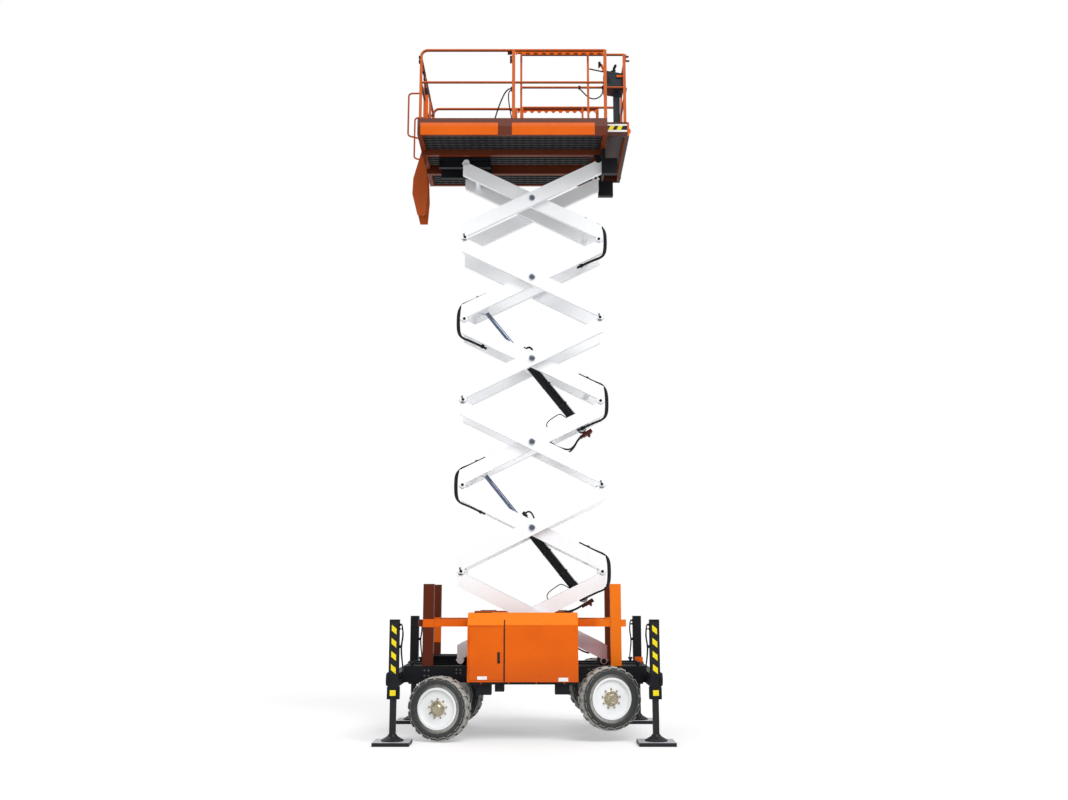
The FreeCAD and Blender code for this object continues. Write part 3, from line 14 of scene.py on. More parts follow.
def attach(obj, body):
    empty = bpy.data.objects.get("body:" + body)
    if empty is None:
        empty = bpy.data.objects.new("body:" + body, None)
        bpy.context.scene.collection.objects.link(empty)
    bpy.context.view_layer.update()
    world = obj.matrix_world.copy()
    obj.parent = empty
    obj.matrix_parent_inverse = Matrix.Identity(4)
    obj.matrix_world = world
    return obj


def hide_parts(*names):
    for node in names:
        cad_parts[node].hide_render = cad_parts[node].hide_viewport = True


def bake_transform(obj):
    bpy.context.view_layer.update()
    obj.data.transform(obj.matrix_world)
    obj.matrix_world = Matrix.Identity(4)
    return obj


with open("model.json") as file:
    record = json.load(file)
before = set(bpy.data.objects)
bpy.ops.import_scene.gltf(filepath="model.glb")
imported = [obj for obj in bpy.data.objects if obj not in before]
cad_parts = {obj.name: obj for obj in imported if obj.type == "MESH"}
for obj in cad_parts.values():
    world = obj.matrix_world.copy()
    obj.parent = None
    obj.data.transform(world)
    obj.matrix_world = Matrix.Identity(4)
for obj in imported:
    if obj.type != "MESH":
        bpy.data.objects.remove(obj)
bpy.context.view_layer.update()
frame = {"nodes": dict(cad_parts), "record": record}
scene = bpy.context.scene

# Photograph: 1068 x 800 pixels, focal length and principal point in pixels
PHOTO_WIDTH = 1068.0
FOCAL_PIXELS = 1192.0
PRINCIPAL_UP = 45.0
CAMERA_PLACE = (0.12, -16.67, 1.82)
CAMERA_PITCH = 11.35

# Scissor stack, as in the part: half an arm, rest angle, middle and height of its crosses
HALF_ARM = 1.115
REST = math.radians(31.5)
STACK_X = 0.09231
BASE_PIN = (1.043, 0.957)
CROSS_HEIGHT = 2 * HALF_ARM * math.sin(REST)
CROSS_WIDTH = 2 * HALF_ARM * math.cos(REST)
LEVELS = 6
INNER_ARM_Y = 0.302
OUTER_ARM_Y = 0.392
ARM_HALF_WIDTH = 0.040
ARM_OFFSET = 0.105
ARM_HALF_DEPTH = 0.095
TOP_PIN_Z = BASE_PIN[1] + LEVELS * CROSS_HEIGHT
DECK_Z = TOP_PIN_Z + 0.257

ENDS = (("left", -1, 0.407, -15.0), ("right", 1, 0.530, 15.0))
SIDES = (("near", -1), ("far", 1))

# Lift cylinders: base eye of the lower one, its length, and the step up to the upper one
CYLINDER_BASE = (0.7950, 1.7708)
CYLINDER_AXIS = (-0.627845, 0.778339)
BARREL_LENGTH = 1.400
BARREL_RADIUS = 0.062


def new_piece(name, bm, material, body, smooth=False, bevel=0.0, segments=2):
    """Object made from a bmesh, finished with a material and riding on a body."""
    bmesh.ops.recalc_face_normals(bm, faces=bm.faces)
    mesh = bpy.data.meshes.new(name)
    bm.to_mesh(mesh)
    bm.free()
    for polygon in mesh.polygons:
        polygon.use_smooth = smooth or bevel > 0
    piece = bpy.data.objects.new(name, mesh)
    scene.collection.objects.link(piece)
    mesh.materials.append(material)
    if bevel > 0:
        edge = piece.modifiers.new("edges", "BEVEL")
        edge.width = bevel
        edge.segments = segments
        edge.limit_method = "ANGLE"
        edge.angle_limit = math.radians(35)
        edge.harden_normals = True
    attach(piece, body)
    return piece


def add_prism(bm, outline, along):
    """Closed outline of points pushed along a vector."""
    along = Vector(along)
    low = [bm.verts.new(Vector(p)) for p in outline]
    high = [bm.verts.new(Vector(p) + along) for p in outline]
    bm.faces.new(low[::-1])
    bm.faces.new(high)
    count = len(low)
    for i in range(count):
        j = (i + 1) % count
        bm.faces.new((low[i], low[j], high[j], high[i]))


def add_box(bm, low, high):
    """Box between two corners."""
    x0, y0, z0 = low
    x1, y1, z1 = high
    add_prism(bm, [(x0, y0, z0), (x1, y0, z0), (x1, y1, z0), (x0, y1, z0)], (0, 0, z1 - z0))


def frame_of(axis):
    """Two directions square to an axis, and the axis itself."""
    axis = Vector(axis).normalized()
    side = axis.cross(Vector((0, 0, 1)))
    if side.length < 1e-4:
        side = Vector((1, 0, 0))
    side.normalize()
    return side, axis.cross(side), axis


def add_lathe(bm, place, axis, profile, sides=32):
    """Turned form: profile rows of radius and height along an axis."""
    side, up, along = frame_of(axis)
    rings = []
    for radius, height in profile:
        centre = Vector(place) + along * height
        if radius < 1e-6:
            rings.append([bm.verts.new(centre)])
            continue
        ring = []
        for i in range(sides):
            angle = 2 * math.pi * i / sides
            ring.append(bm.verts.new(centre + side * (radius * math.cos(angle))
                                     + up * (radius * math.sin(angle))))
        rings.append(ring)
    for first, second in zip(rings, rings[1:]):
        for i in range(sides):
            j = (i + 1) % sides
            a = first[i % len(first)]
            b = first[j % len(first)]
            c = second[j % len(second)]
            d = second[i % len(second)]
            corners = []
            for vertex in (a, b, c, d):
                if vertex not in corners:
                    corners.append(vertex)
            if len(corners) > 2:
                bm.faces.new(corners)


def add_bolt(bm, place, axis, size):
    """Hexagon bolt head on a washer, size across its corners."""
    r = size / 2
    add_lathe(bm, place, axis, [(0, -0.001), (r * 1.35, -0.001), (r * 1.35, size * 0.10),
                                (0, size * 0.10)], 20)
    add_lathe(bm, Vector(place) + Vector(axis).normalized() * size * 0.10, axis,
              [(0, 0), (r, 0), (r, size * 0.42), (r * 0.86, size * 0.52), (0, size * 0.52)], 6)


def add_bolts(bm, places, axis, size):
    for place in places:
        add_bolt(bm, place, axis, size)


def add_sweep(bm, path, radius, sides=12, capped=True):
    """Round tube skinned along a list of points."""
    points = [Vector(p) for p in path]
    rings = []
    side = None
    for i, point in enumerate(points):
        ahead = points[min(i + 1, len(points) - 1)] - points[max(i - 1, 0)]
        ahead.normalize()
        if side is None:
            side = frame_of(ahead)[0]
        side = (side - ahead * side.dot(ahead)).normalized()
        up = ahead.cross(side)
        rings.append([bm.verts.new(point + side * (radius * math.cos(2 * math.pi * k / sides))
                                   + up * (radius * math.sin(2 * math.pi * k / sides)))
                      for k in range(sides)])
    for first, second in zip(rings, rings[1:]):
        for k in range(sides):
            bm.faces.new((first[k], first[(k + 1) % sides], second[(k + 1) % sides], second[k]))
    if capped:
        bm.faces.new(rings[0][::-1])
        bm.faces.new(rings[-1])


def spline_points(points, resolution=10):
    """Points along the smooth spline through a route's control points, and its length."""
    curve = bpy.data.curves.new("route", "CURVE")
    curve.dimensions = "3D"
    curve.resolution_u = resolution
    spline = curve.splines.new("NURBS")
    spline.points.add(len(points) - 1)
    for place, point in zip(spline.points, points):
        place.co = (*point, 1.0)
    spline.order_u = 3
    spline.use_endpoint_u = True
    holder = bpy.data.objects.new("route", curve)
    scene.collection.objects.link(holder)
    bpy.context.view_layer.update()
    mesh = bpy.data.meshes.new_from_object(holder)
    path = [v.co.copy() for v in mesh.vertices]
    bpy.data.objects.remove(holder)
    bpy.data.curves.remove(curve)
    bpy.data.meshes.remove(mesh)
    length = sum((b - a).length for a, b in zip(path, path[1:]))
    return path, length


def made(name, body, look, fill, bevel=0.0, matrix=None, sharp=None):
    """Piece whose mesh the fill function writes, moved by a matrix before it is made."""
    bm = bmesh.new()
    fill(bm)
    if matrix is not None:
        bm.transform(matrix)
    piece = new_piece(name, bm, look, body, sharp is not None, bevel)
    if sharp is not None:
        piece.data.set_sharp_from_angle(angle=math.radians(sharp))
    return piece


def boxes(name, body, look, rows, bevel=0.003, matrix=None):
    """Piece of several boxes, each row its two corners."""
    def fill(bm):
        for low, high in rows:
            add_box(bm, low, high)
    return made(name, body, look, fill, bevel, matrix)


def bolts(name, body, places, axis, size, look=None):
    def fill(bm):
        for place in places:
            add_bolt(bm, place, axis, size)
    return made(name, body, look or black, fill, 0.0)


def tube(name, body, look, paths, radius, sides=12):
    """Rigid bent tubes, each along its own smooth line."""
    def fill(bm):
        for points in paths:
            add_sweep(bm, spline_points(points, 6)[0] if len(points) > 2 else points,
                      radius, sides)
    return made(name, body, look, fill, 0.0, None, 40)


def hose(name, points, radius, body, onto=None):
    """Hydraulic hose or cable swept along a smooth route: it rides on one body, or, when a second
    body is given, it stays where it is made without riding on either.
    """
    path, length = spline_points(points)
    bm = bmesh.new()
    add_sweep(bm, path, radius)
    bmesh.ops.recalc_face_normals(bm, faces=bm.faces)
    mesh = bpy.data.meshes.new(name)
    bm.to_mesh(mesh)
    bm.free()
    for polygon in mesh.polygons:
        polygon.use_smooth = True
    mesh.materials.append(hose_rubber)
    piece = bpy.data.objects.new(name, mesh)
    scene.collection.objects.link(piece)
    if onto:
        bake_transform(piece)
    else:
        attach(piece, body)
    return piece


def leaning(level, right):
    """From an arm's own frame (along, across, square to it) to the machine's."""
    height = BASE_PIN[1] + (LEVELS + 0.5 - level) * CROSS_HEIGHT
    along = math.cos(REST) if right else -math.cos(REST)
    square = -math.sin(REST) if right else math.sin(REST)
    return Matrix(((along, 0, square, STACK_X), (0, 1, 0, 0),
                   (math.sin(REST), 0, math.cos(REST), height), (0, 0, 0, 1)))


def on_cylinder(rise):
    """From a lift cylinder's own frame (along from its base eye, across, square) to ours."""
    x, z = CYLINDER_AXIS
    return Matrix(((x, 0, z, CYLINDER_BASE[0]), (0, 1, 0, 0),
                   (z, 0, -x, CYLINDER_BASE[1] + rise), (0, 0, 0, 1)))


def shader(name):
    """Empty material with its node tree, Principled shader and object coordinates."""
    material = bpy.data.materials.new(name)
    material.use_nodes = True
    nodes = material.node_tree.nodes
    principled = nodes["Principled BSDF"]
    coordinates = nodes.new("ShaderNodeTexCoord")
    return material, nodes, material.node_tree.links, principled, coordinates


def noise(nodes, links, coordinates, scale, detail=3.0, roughness=0.55):
    texture = nodes.new("ShaderNodeTexNoise")
    texture.inputs["Scale"].default_value = scale
    texture.inputs["Detail"].default_value = detail
    texture.inputs["Roughness"].default_value = roughness
    links.new(coordinates.outputs["Object"], texture.inputs["Vector"])
    return texture.outputs["Fac"]


def ramp(nodes, links, value, low, high):
    """0 to 1 as the value goes from low to high."""
    span = nodes.new("ShaderNodeMapRange")
    span.inputs["From Min"].default_value = low
    span.inputs["From Max"].default_value = high
    links.new(value, span.inputs["Value"])
    return span.outputs["Result"]


def maths(nodes, links, operation, a, b):
    node = nodes.new("ShaderNodeMath")
    node.operation = operation
    for socket, value in zip(node.inputs, (a, b)):
        if isinstance(value, (int, float)):
            socket.default_value = value
        else:
            links.new(value, socket)
    return node.outputs[0]


def mix(nodes, links, factor, first, second):
    node = nodes.new("ShaderNodeMix")
    node.data_type = "RGBA"
    if isinstance(factor, (int, float)):
        node.inputs[0].default_value = factor
    else:
        links.new(factor, node.inputs[0])
    for socket, value in zip((node.inputs[6], node.inputs[7]), (first, second)):
        if isinstance(value, tuple):
            socket.default_value = (*value, 1.0)
        else:
            links.new(value, socket)
    return node.outputs[2]


def edge_wear(nodes, links, breakup, radius=0.006):
    """Mask along convex edges, broken up by a noise."""
    bevel = nodes.new("ShaderNodeBevel")
    bevel.samples = 4
    bevel.inputs["Radius"].default_value = radius
    geometry = nodes.new("ShaderNodeNewGeometry")
    dot = nodes.new("ShaderNodeVectorMath")
    dot.operation = "DOT_PRODUCT"
    links.new(bevel.outputs["Normal"], dot.inputs[0])
    links.new(geometry.outputs["Normal"], dot.inputs[1])
    bent = maths(nodes, links, "SUBTRACT", 1.0, dot.outputs["Value"])
    mask = ramp(nodes, links, bent, 0.02, 0.22)
    return maths(nodes, links, "MULTIPLY", mask, ramp(nodes, links, breakup, 0.48, 0.72))


def upward(nodes, links, low, high):
    """Mask of faces that look up, by the height of their normal."""
    geometry = nodes.new("ShaderNodeNewGeometry")
    split = nodes.new("ShaderNodeSeparateXYZ")
    links.new(geometry.outputs["Normal"], split.inputs[0])
    return ramp(nodes, links, split.outputs["Z"], low, high)


def bump(nodes, links, height, strength, distance):
    node = nodes.new("ShaderNodeBump")
    node.inputs["Strength"].default_value = strength
    node.inputs["Distance"].default_value = distance
    links.new(height, node.inputs["Height"])
    return node.outputs["Normal"]


def paint(name, colour, tint, worn, dust, roughness=0.42, wear=1.0, coat=0.03,
          orange_peel=0.10, shade=None, specular=0.16):
    """Sprayed paint: slow change of tone, worn edges, dust on top, orange-peel gloss."""
    material, nodes, links, principled, coordinates = shader(name)
    slow = noise(nodes, links, coordinates, 2.2, 4.0)
    fine = noise(nodes, links, coordinates, 22.0, 5.0)
    grain = noise(nodes, links, coordinates, 260.0, 2.0)
    base = mix(nodes, links, ramp(nodes, links, slow, 0.35, 0.68), colour, tint)
    # The optional shade function lays painted light and shade over the tone
    if shade:
        base = shade(nodes, links, coordinates, base)
    if wear > 0:
        scuffed = maths(nodes, links, "MULTIPLY", edge_wear(nodes, links, fine), wear)
        base = mix(nodes, links, scuffed, base, worn)
    settled = maths(nodes, links, "MULTIPLY", upward(nodes, links, 0.55, 0.98),
                    ramp(nodes, links, fine, 0.42, 0.75))
    base = mix(nodes, links, maths(nodes, links, "MULTIPLY", settled, 0.25), base, dust)
    links.new(base, principled.inputs["Base Color"])
    rough = maths(nodes, links, "MULTIPLY_ADD", fine, 0.22)
    rough.node.inputs[2].default_value = roughness - 0.11
    links.new(rough, principled.inputs["Roughness"])
    links.new(bump(nodes, links, grain, orange_peel, 0.002), principled.inputs["Normal"])
    principled.inputs["Specular IOR Level"].default_value = specular
    principled.inputs["Coat Weight"].default_value = coat
    principled.inputs["Coat Roughness"].default_value = 0.15
    return material


ORANGE = (0.73, 0.118, 0.0)
ORANGE_TINT = (0.67, 0.104, 0.0)
# Painted light and shade: a lighter orange for painted highlights, then a darker orange for painted
# shade low on the covers
LIT_ORANGE = (0.90, 0.215, 0.006)
PAINTED_SHADE_ORANGE = (0.54, 0.082, 0.004)
RAIL_ORANGE = (0.58, 0.120, 0.020)
RAIL_TINT = (0.50, 0.105, 0.024)
BROWN = (0.078, 0.011, 0.003)
DARK = (0.012, 0.011, 0.012)
PRIMER = (0.34, 0.10, 0.03)
DUST = (0.42, 0.34, 0.25)


def place_of(nodes, links, coordinates, axis):
    split = nodes.new("ShaderNodeSeparateXYZ")
    links.new(coordinates.outputs["Object"], split.inputs[0])
    return split.outputs[axis]


def below(nodes, links, coordinates, axis, low, high):
    """0 to 1 along one axis of the machine."""
    return ramp(nodes, links, place_of(nodes, links, coordinates, axis), low, high)


def between(nodes, links, coordinates, axis, low, high, edge=0.003):
    """1 between two places along an axis, 0 outside them."""
    return maths(nodes, links, "MULTIPLY",
                 below(nodes, links, coordinates, axis, low - edge, low),
                 below(nodes, links, coordinates, axis, high + edge, high))


def facing(nodes, links, axis, low, high):
    geometry = nodes.new("ShaderNodeNewGeometry")
    split = nodes.new("ShaderNodeSeparateXYZ")
    links.new(geometry.outputs["Normal"], split.inputs[0])
    return ramp(nodes, links, maths(nodes, links, "ABSOLUTE", split.outputs[axis], 0.0),
                low, high)


def shaded_covers(nodes, links, coordinates, base):
    """Covers: painted shade, duller towards the ground, and a painted highlight on the upward sloped
    faces.
    """
    low = below(nodes, links, coordinates, "Z", 1.10, 0.72)
    base = mix(nodes, links, maths(nodes, links, "MULTIPLY", low, 0.8), base, PAINTED_SHADE_ORANGE)
    # Painted highlight: faces that look upward are lightened towards LIT_ORANGE
    slope = maths(nodes, links, "MULTIPLY", upward(nodes, links, 0.35, 0.60), 0.8)
    return mix(nodes, links, slope, base, LIT_ORANGE)


def shaded_posts(nodes, links, coordinates, base):
    """Posts: painted light and shade. The near one at the right, the bars and a band of the far left
    one keep their orange, the right ones get a painted highlight, and all the rest, the left ends of
    the bars too, is painted dark brown shade.
    """
    right = below(nodes, links, coordinates, "X", 0.9, 1.0)
    near = below(nodes, links, coordinates, "Y", 0.1, -0.1)
    unshaded = maths(nodes, links, "MULTIPLY", right, near)
    bars = between(nodes, links, coordinates, "Z", 1.40, 1.50)
    unshaded = maths(nodes, links, "MAXIMUM", unshaded, bars)
    far_left = maths(nodes, links, "MULTIPLY", between(nodes, links, coordinates, "Z", 1.16, 1.42),
                     below(nodes, links, coordinates, "Y", 0.3, 0.4))
    far_left = maths(nodes, links, "MULTIPLY", far_left,
                     below(nodes, links, coordinates, "X", 0.1, -0.1))
    unshaded = maths(nodes, links, "MAXIMUM", unshaded, far_left)
    # Painted highlight: the right posts are lightened towards LIT_ORANGE
    base = mix(nodes, links, maths(nodes, links, "MULTIPLY", right, 0.6), base, LIT_ORANGE)
    end = below(nodes, links, coordinates, "X", -1.338, -1.334)
    unshaded = maths(nodes, links, "MULTIPLY", unshaded, end)
    # Painted shade: everything outside the orange parts turns dark brown
    shade_mask = maths(nodes, links, "SUBTRACT", 1.0, unshaded)
    return mix(nodes, links, maths(nodes, links, "MULTIPLY", shade_mask, 0.97), base, BROWN)


def shaded_fascia(nodes, links, coordinates, base):
    """Platform sides: painted dark brown shade outside two orange panels, and painted near-black
    brown shade underneath.
    """
    left = between(nodes, links, coordinates, "X", -1.455, -0.382)
    right = between(nodes, links, coordinates, "X", -0.185, 0.962)
    panel = maths(nodes, links, "MULTIPLY", maths(nodes, links, "MAXIMUM", left, right),
                  between(nodes, links, coordinates, "Z", DECK_Z - 0.158, DECK_Z + 0.038))
    outside = maths(nodes, links, "ABSOLUTE", place_of(nodes, links, coordinates, "Y"), 0.0)
    panel = maths(nodes, links, "MULTIPLY", panel, ramp(nodes, links, outside, 1.055, 1.057))
    side = facing(nodes, links, "Y", 0.6, 0.9)
    # Painted shade on the side faces outside the orange panels
    shade_mask = maths(nodes, links, "MULTIPLY", side, maths(nodes, links, "SUBTRACT", 1.0, panel))
    base = mix(nodes, links, maths(nodes, links, "MULTIPLY", shade_mask, 0.93), base,
               (0.078, 0.020, 0.011))
    # Painted shade on the downward faces
    under = upward(nodes, links, -0.5, -0.9)
    return mix(nodes, links, maths(nodes, links, "MULTIPLY", under, 0.9), base, BROWN)


def shaded_rails(nodes, links, coordinates, base):
    """Rails: painted brown shade on their downward faces."""
    under = upward(nodes, links, -0.05, -0.60)
    return mix(nodes, links, maths(nodes, links, "MULTIPLY", under, 0.9), base, BROWN)


def shaded_ladder(nodes, links, coordinates, base):
    # Painted shade: the ladder and grab handles are darkened towards brown
    return mix(nodes, links, 0.55, base, (0.16, 0.038, 0.018))


def shaded_nose(nodes, links, coordinates, base):
    """Roll-out deck: its front box is dark on its long sides, and its underside is painted dark
    brown shade.
    """
    dark = maths(nodes, links, "MULTIPLY", facing(nodes, links, "Y", 0.6, 0.9),
                 below(nodes, links, coordinates, "X", 1.428, 1.424))
    base = mix(nodes, links, maths(nodes, links, "MULTIPLY", dark, 0.95), base,
               (0.036, 0.020, 0.018))
    # Painted shade underneath
    return mix(nodes, links, upward(nodes, links, -0.5, -0.9), base, (0.030, 0.014, 0.010))


def shaded_feet(nodes, links, coordinates, base):
    """Pads: their upper face is pale and dusty inside a black edge."""
    top = maths(nodes, links, "MULTIPLY", upward(nodes, links, 0.90, 0.98),
                below(nodes, links, coordinates, "Z", 0.060, 0.050))
    return mix(nodes, links, maths(nodes, links, "MULTIPLY", top, 0.9), base,
               (0.54, 0.54, 0.58))


def shaded_foot_arms(nodes, links, coordinates, base):
    """Painted reflection: white arms are tinted pinkish near the ground at the right, as orange
    light bounced from the deck posts.
    """
    low = maths(nodes, links, "MULTIPLY", below(nodes, links, coordinates, "Z", 1.32, 1.16),
                below(nodes, links, coordinates, "X", 0.55, 0.75))
    return mix(nodes, links, maths(nodes, links, "MULTIPLY", low, 0.75), base,
               (0.50, 0.23, 0.27))


def tyre_rubber():
    """Dark sidewall, with a dusty, paler tread."""
    material, nodes, links, principled, coordinates = shader("tyre_rubber_look")
    fine = noise(nodes, links, coordinates, 30.0, 6.0)
    grain = noise(nodes, links, coordinates, 320.0, 2.0)
    geometry = nodes.new("ShaderNodeNewGeometry")
    split = nodes.new("ShaderNodeSeparateXYZ")
    links.new(geometry.outputs["Normal"], split.inputs[0])
    sideways = maths(nodes, links, "ABSOLUTE", split.outputs["Y"], 0.0)
    tread = ramp(nodes, links, sideways, 0.90, 0.60)
    dusty = maths(nodes, links, "MULTIPLY", tread, ramp(nodes, links, fine, 0.12, 0.50))
    base = mix(nodes, links, ramp(nodes, links, fine, 0.35, 0.7),
               (0.024, 0.026, 0.026), (0.040, 0.043, 0.043))
    base = mix(nodes, links, maths(nodes, links, "MULTIPLY", dusty, 0.9), base,
               (0.46, 0.45, 0.41))
    links.new(base, principled.inputs["Base Color"])
    links.new(bump(nodes, links, grain, 0.25, 0.002), principled.inputs["Normal"])
    principled.inputs["Roughness"].default_value = 0.72
    return material


def plain_rubber():
    material, nodes, links, principled, coordinates = shader("hose_rubber")
    fine = noise(nodes, links, coordinates, 60.0, 4.0)
    base = mix(nodes, links, ramp(nodes, links, fine, 0.35, 0.7),
               (0.006, 0.006, 0.007), (0.012, 0.012, 0.014))
    links.new(base, principled.inputs["Base Color"])
    grain = noise(nodes, links, coordinates, 420.0, 2.0)
    links.new(bump(nodes, links, grain, 0.3, 0.001), principled.inputs["Normal"])
    principled.inputs["Specular IOR Level"].default_value = 0.2
    principled.inputs["Roughness"].default_value = 0.55
    return material


def metal(name, colour, second, roughness, brushed=240.0):
    """Bare or plated metal with fine scratches and slight stains."""
    material, nodes, links, principled, coordinates = shader(name)
    fine = noise(nodes, links, coordinates, 35.0, 5.0)
    scratch = noise(nodes, links, coordinates, brushed, 6.0, 0.75)
    base = mix(nodes, links, ramp(nodes, links, fine, 0.4, 0.72), colour, second)
    links.new(base, principled.inputs["Base Color"])
    rough = maths(nodes, links, "MULTIPLY_ADD", scratch, 0.18)
    rough.node.inputs[2].default_value = roughness - 0.09
    links.new(rough, principled.inputs["Roughness"])
    links.new(bump(nodes, links, scratch, 0.08, 0.001), principled.inputs["Normal"])
    principled.inputs["Metallic"].default_value = 1.0
    return material


def tread_plate():
    """Deck: orange plate with raised slip-proof bars on its upper face."""
    material, nodes, links, principled, coordinates = shader("deck_tread")
    fine = noise(nodes, links, coordinates, 18.0, 5.0)
    heights = []
    for turn in (45, -45):
        place = nodes.new("ShaderNodeMapping")
        place.inputs["Rotation"].default_value = (0, 0, math.radians(turn))
        links.new(coordinates.outputs["Object"], place.inputs["Vector"])
        wave = nodes.new("ShaderNodeTexWave")
        wave.inputs["Scale"].default_value = 13.0
        links.new(place.outputs["Vector"], wave.inputs["Vector"])
        heights.append(ramp(nodes, links, wave.outputs["Fac"], 0.6, 0.8))
    lines = maths(nodes, links, "MAXIMUM", heights[0], heights[1])
    top = upward(nodes, links, 0.8, 0.95)
    lines = maths(nodes, links, "MULTIPLY", lines, top)
    base = mix(nodes, links, ramp(nodes, links, fine, 0.4, 0.7), ORANGE, ORANGE_TINT)
    # Painted shade on the deck's sides and underside, as on the frame
    base = shaded_fascia(nodes, links, coordinates, base)
    worn = maths(nodes, links, "MULTIPLY", top, ramp(nodes, links, fine, 0.4, 0.7))
    base = mix(nodes, links, maths(nodes, links, "MULTIPLY", worn, 0.6), base, (0.20, 0.17, 0.15))
    links.new(base, principled.inputs["Base Color"])
    links.new(bump(nodes, links, lines, 0.6, 0.004), principled.inputs["Normal"])
    principled.inputs["Roughness"].default_value = 0.42
    return material


def plastic(name, colour, second, roughness=0.55):
    material, nodes, links, principled, coordinates = shader(name)
    fine = noise(nodes, links, coordinates, 28.0, 4.0)
    grain = noise(nodes, links, coordinates, 500.0, 2.0)
    base = mix(nodes, links, ramp(nodes, links, fine, 0.35, 0.7), colour, second)
    links.new(base, principled.inputs["Base Color"])
    links.new(bump(nodes, links, grain, 0.35, 0.001), principled.inputs["Normal"])
    principled.inputs["Roughness"].default_value = roughness
    principled.inputs["Specular IOR Level"].default_value = 0.25
    return material


orange = paint("orange_look", ORANGE, ORANGE_TINT, PRIMER, DUST, wear=0.5)
# The cover, post, ladder, rail, frame and nose looks carry painted light and shade from their shade
# functions
orange_cover = paint("orange_cover_look", ORANGE, ORANGE_TINT, PRIMER, DUST, wear=0.5,
                     shade=shaded_covers)
orange_posts = paint("orange_posts_look", ORANGE, ORANGE_TINT, PRIMER, DUST, wear=0.5,
                     shade=shaded_posts)
orange_ladder = paint("orange_ladder_look", ORANGE, ORANGE_TINT, PRIMER, DUST, wear=0.3,
                      shade=shaded_ladder)
orange_rails = paint("orange_rails_look", RAIL_ORANGE, RAIL_TINT, PRIMER, DUST, wear=0.0,
                     orange_peel=0.05, shade=shaded_rails)
orange_frame = paint("orange_frame_look", ORANGE, ORANGE_TINT, PRIMER, DUST, wear=0.3,
                     shade=shaded_fascia)
orange_nose = paint("orange_nose_look", ORANGE, ORANGE_TINT, PRIMER, DUST, wear=0.3,
                    shade=shaded_nose)
brown = paint("brown_look", BROWN, (0.13, 0.03, 0.016), (0.20, 0.10, 0.06), DUST, wear=0.3)
orange_deck = tread_plate()
black = paint("black_look", (0.007, 0.008, 0.010), (0.010, 0.011, 0.014), (0.07, 0.07, 0.07),
              (0.05, 0.05, 0.05), roughness=0.50, wear=0.3, coat=0.0, specular=0.16)
black_feet = paint("black_feet_look", (0.010, 0.011, 0.013), (0.015, 0.016, 0.019),
                   (0.10, 0.10, 0.10), (0.16, 0.15, 0.14), roughness=0.45, wear=0.35,
                   coat=0.05, specular=0.25, shade=shaded_feet)
# The white arms carry a painted reflection near the ground
white = paint("white_look", (0.91, 0.92, 0.93), (0.87, 0.88, 0.90), (0.45, 0.45, 0.44),
              (0.62, 0.60, 0.55), roughness=0.36, wear=0.25, shade=shaded_foot_arms, specular=0.3)
wheel_white = paint("wheel_look", (0.84, 0.85, 0.85), (0.78, 0.79, 0.80), (0.5, 0.5, 0.5),
                    (0.55, 0.52, 0.47), roughness=0.42, wear=0.3)
rubber = tyre_rubber()
hose_rubber = plain_rubber()
chrome = metal("rod_look", (0.20, 0.23, 0.32), (0.12, 0.14, 0.22), 0.18)
steel = metal("bolt_steel", (0.52, 0.53, 0.55), (0.36, 0.36, 0.37), 0.34)
blued = metal("pin_cap_steel", (0.30, 0.36, 0.46), (0.22, 0.26, 0.34), 0.40)
zinc = metal("zinc_gold", (0.54, 0.48, 0.34), (0.36, 0.32, 0.23), 0.38)
cast = metal("engine_look", (0.16, 0.16, 0.17), (0.10, 0.09, 0.085), 0.62, 90.0)
box_plastic = plastic("box_plastic", (0.014, 0.021, 0.030), (0.022, 0.031, 0.042))
black_trim = plastic("black_trim", (0.007, 0.007, 0.008), (0.013, 0.013, 0.014), 0.55)
yellow = plastic("hazard_yellow", (0.83, 0.68, 0.01), (0.76, 0.60, 0.01), 0.42)
blank_white = plastic("blank_plate", (0.80, 0.80, 0.80), (0.72, 0.72, 0.71), 0.5)

LOOKS = {"orange_paint": orange, "black_paint": black, "white_paint": white,
         "white_wheel": wheel_white, "tyre_rubber": rubber, "rod_steel": chrome,
         "engine_grey": cast, "black_plastic": box_plastic}
OWN_LOOKS = (("platform_deck", orange_deck), ("platform_frame", orange_frame),
             ("extension_deck", orange_nose), ("rest_posts", orange_posts),
             ("boarding_ladder", orange_ladder), ("cover_", orange_cover),
             ("door_", orange_cover), ("guard_rails", orange_rails),
             ("end_rails", orange_rails), ("entry_gate", orange_rails),
             ("extension_rails", orange_rails), ("grab_handles", orange_ladder),
             ("jack_leg_", black_feet))

for row in frame["record"]["subparts"]:
    look = LOOKS[row["material_slot"]]
    for start, own in OWN_LOOKS:
        if row["node"].startswith(start):
            look = own
    node = frame["nodes"][row["node"]]
    node.data.materials.clear()
    node.data.materials.append(look)


# Stage and camera
camera_data = bpy.data.cameras.new("camera")
camera_data.sensor_fit = "HORIZONTAL"
camera_data.sensor_width = 36.0
camera_data.lens = FOCAL_PIXELS / PHOTO_WIDTH * 36.0
camera_data.shift_y = -PRINCIPAL_UP / PHOTO_WIDTH
camera = bpy.data.objects.new("camera", camera_data)
camera.location = CAMERA_PLACE
camera.rotation_euler = (math.radians(90 + CAMERA_PITCH), 0, 0)
scene.collection.objects.link(camera)
scene.camera = camera
scene.view_settings.view_transform = "Standard"

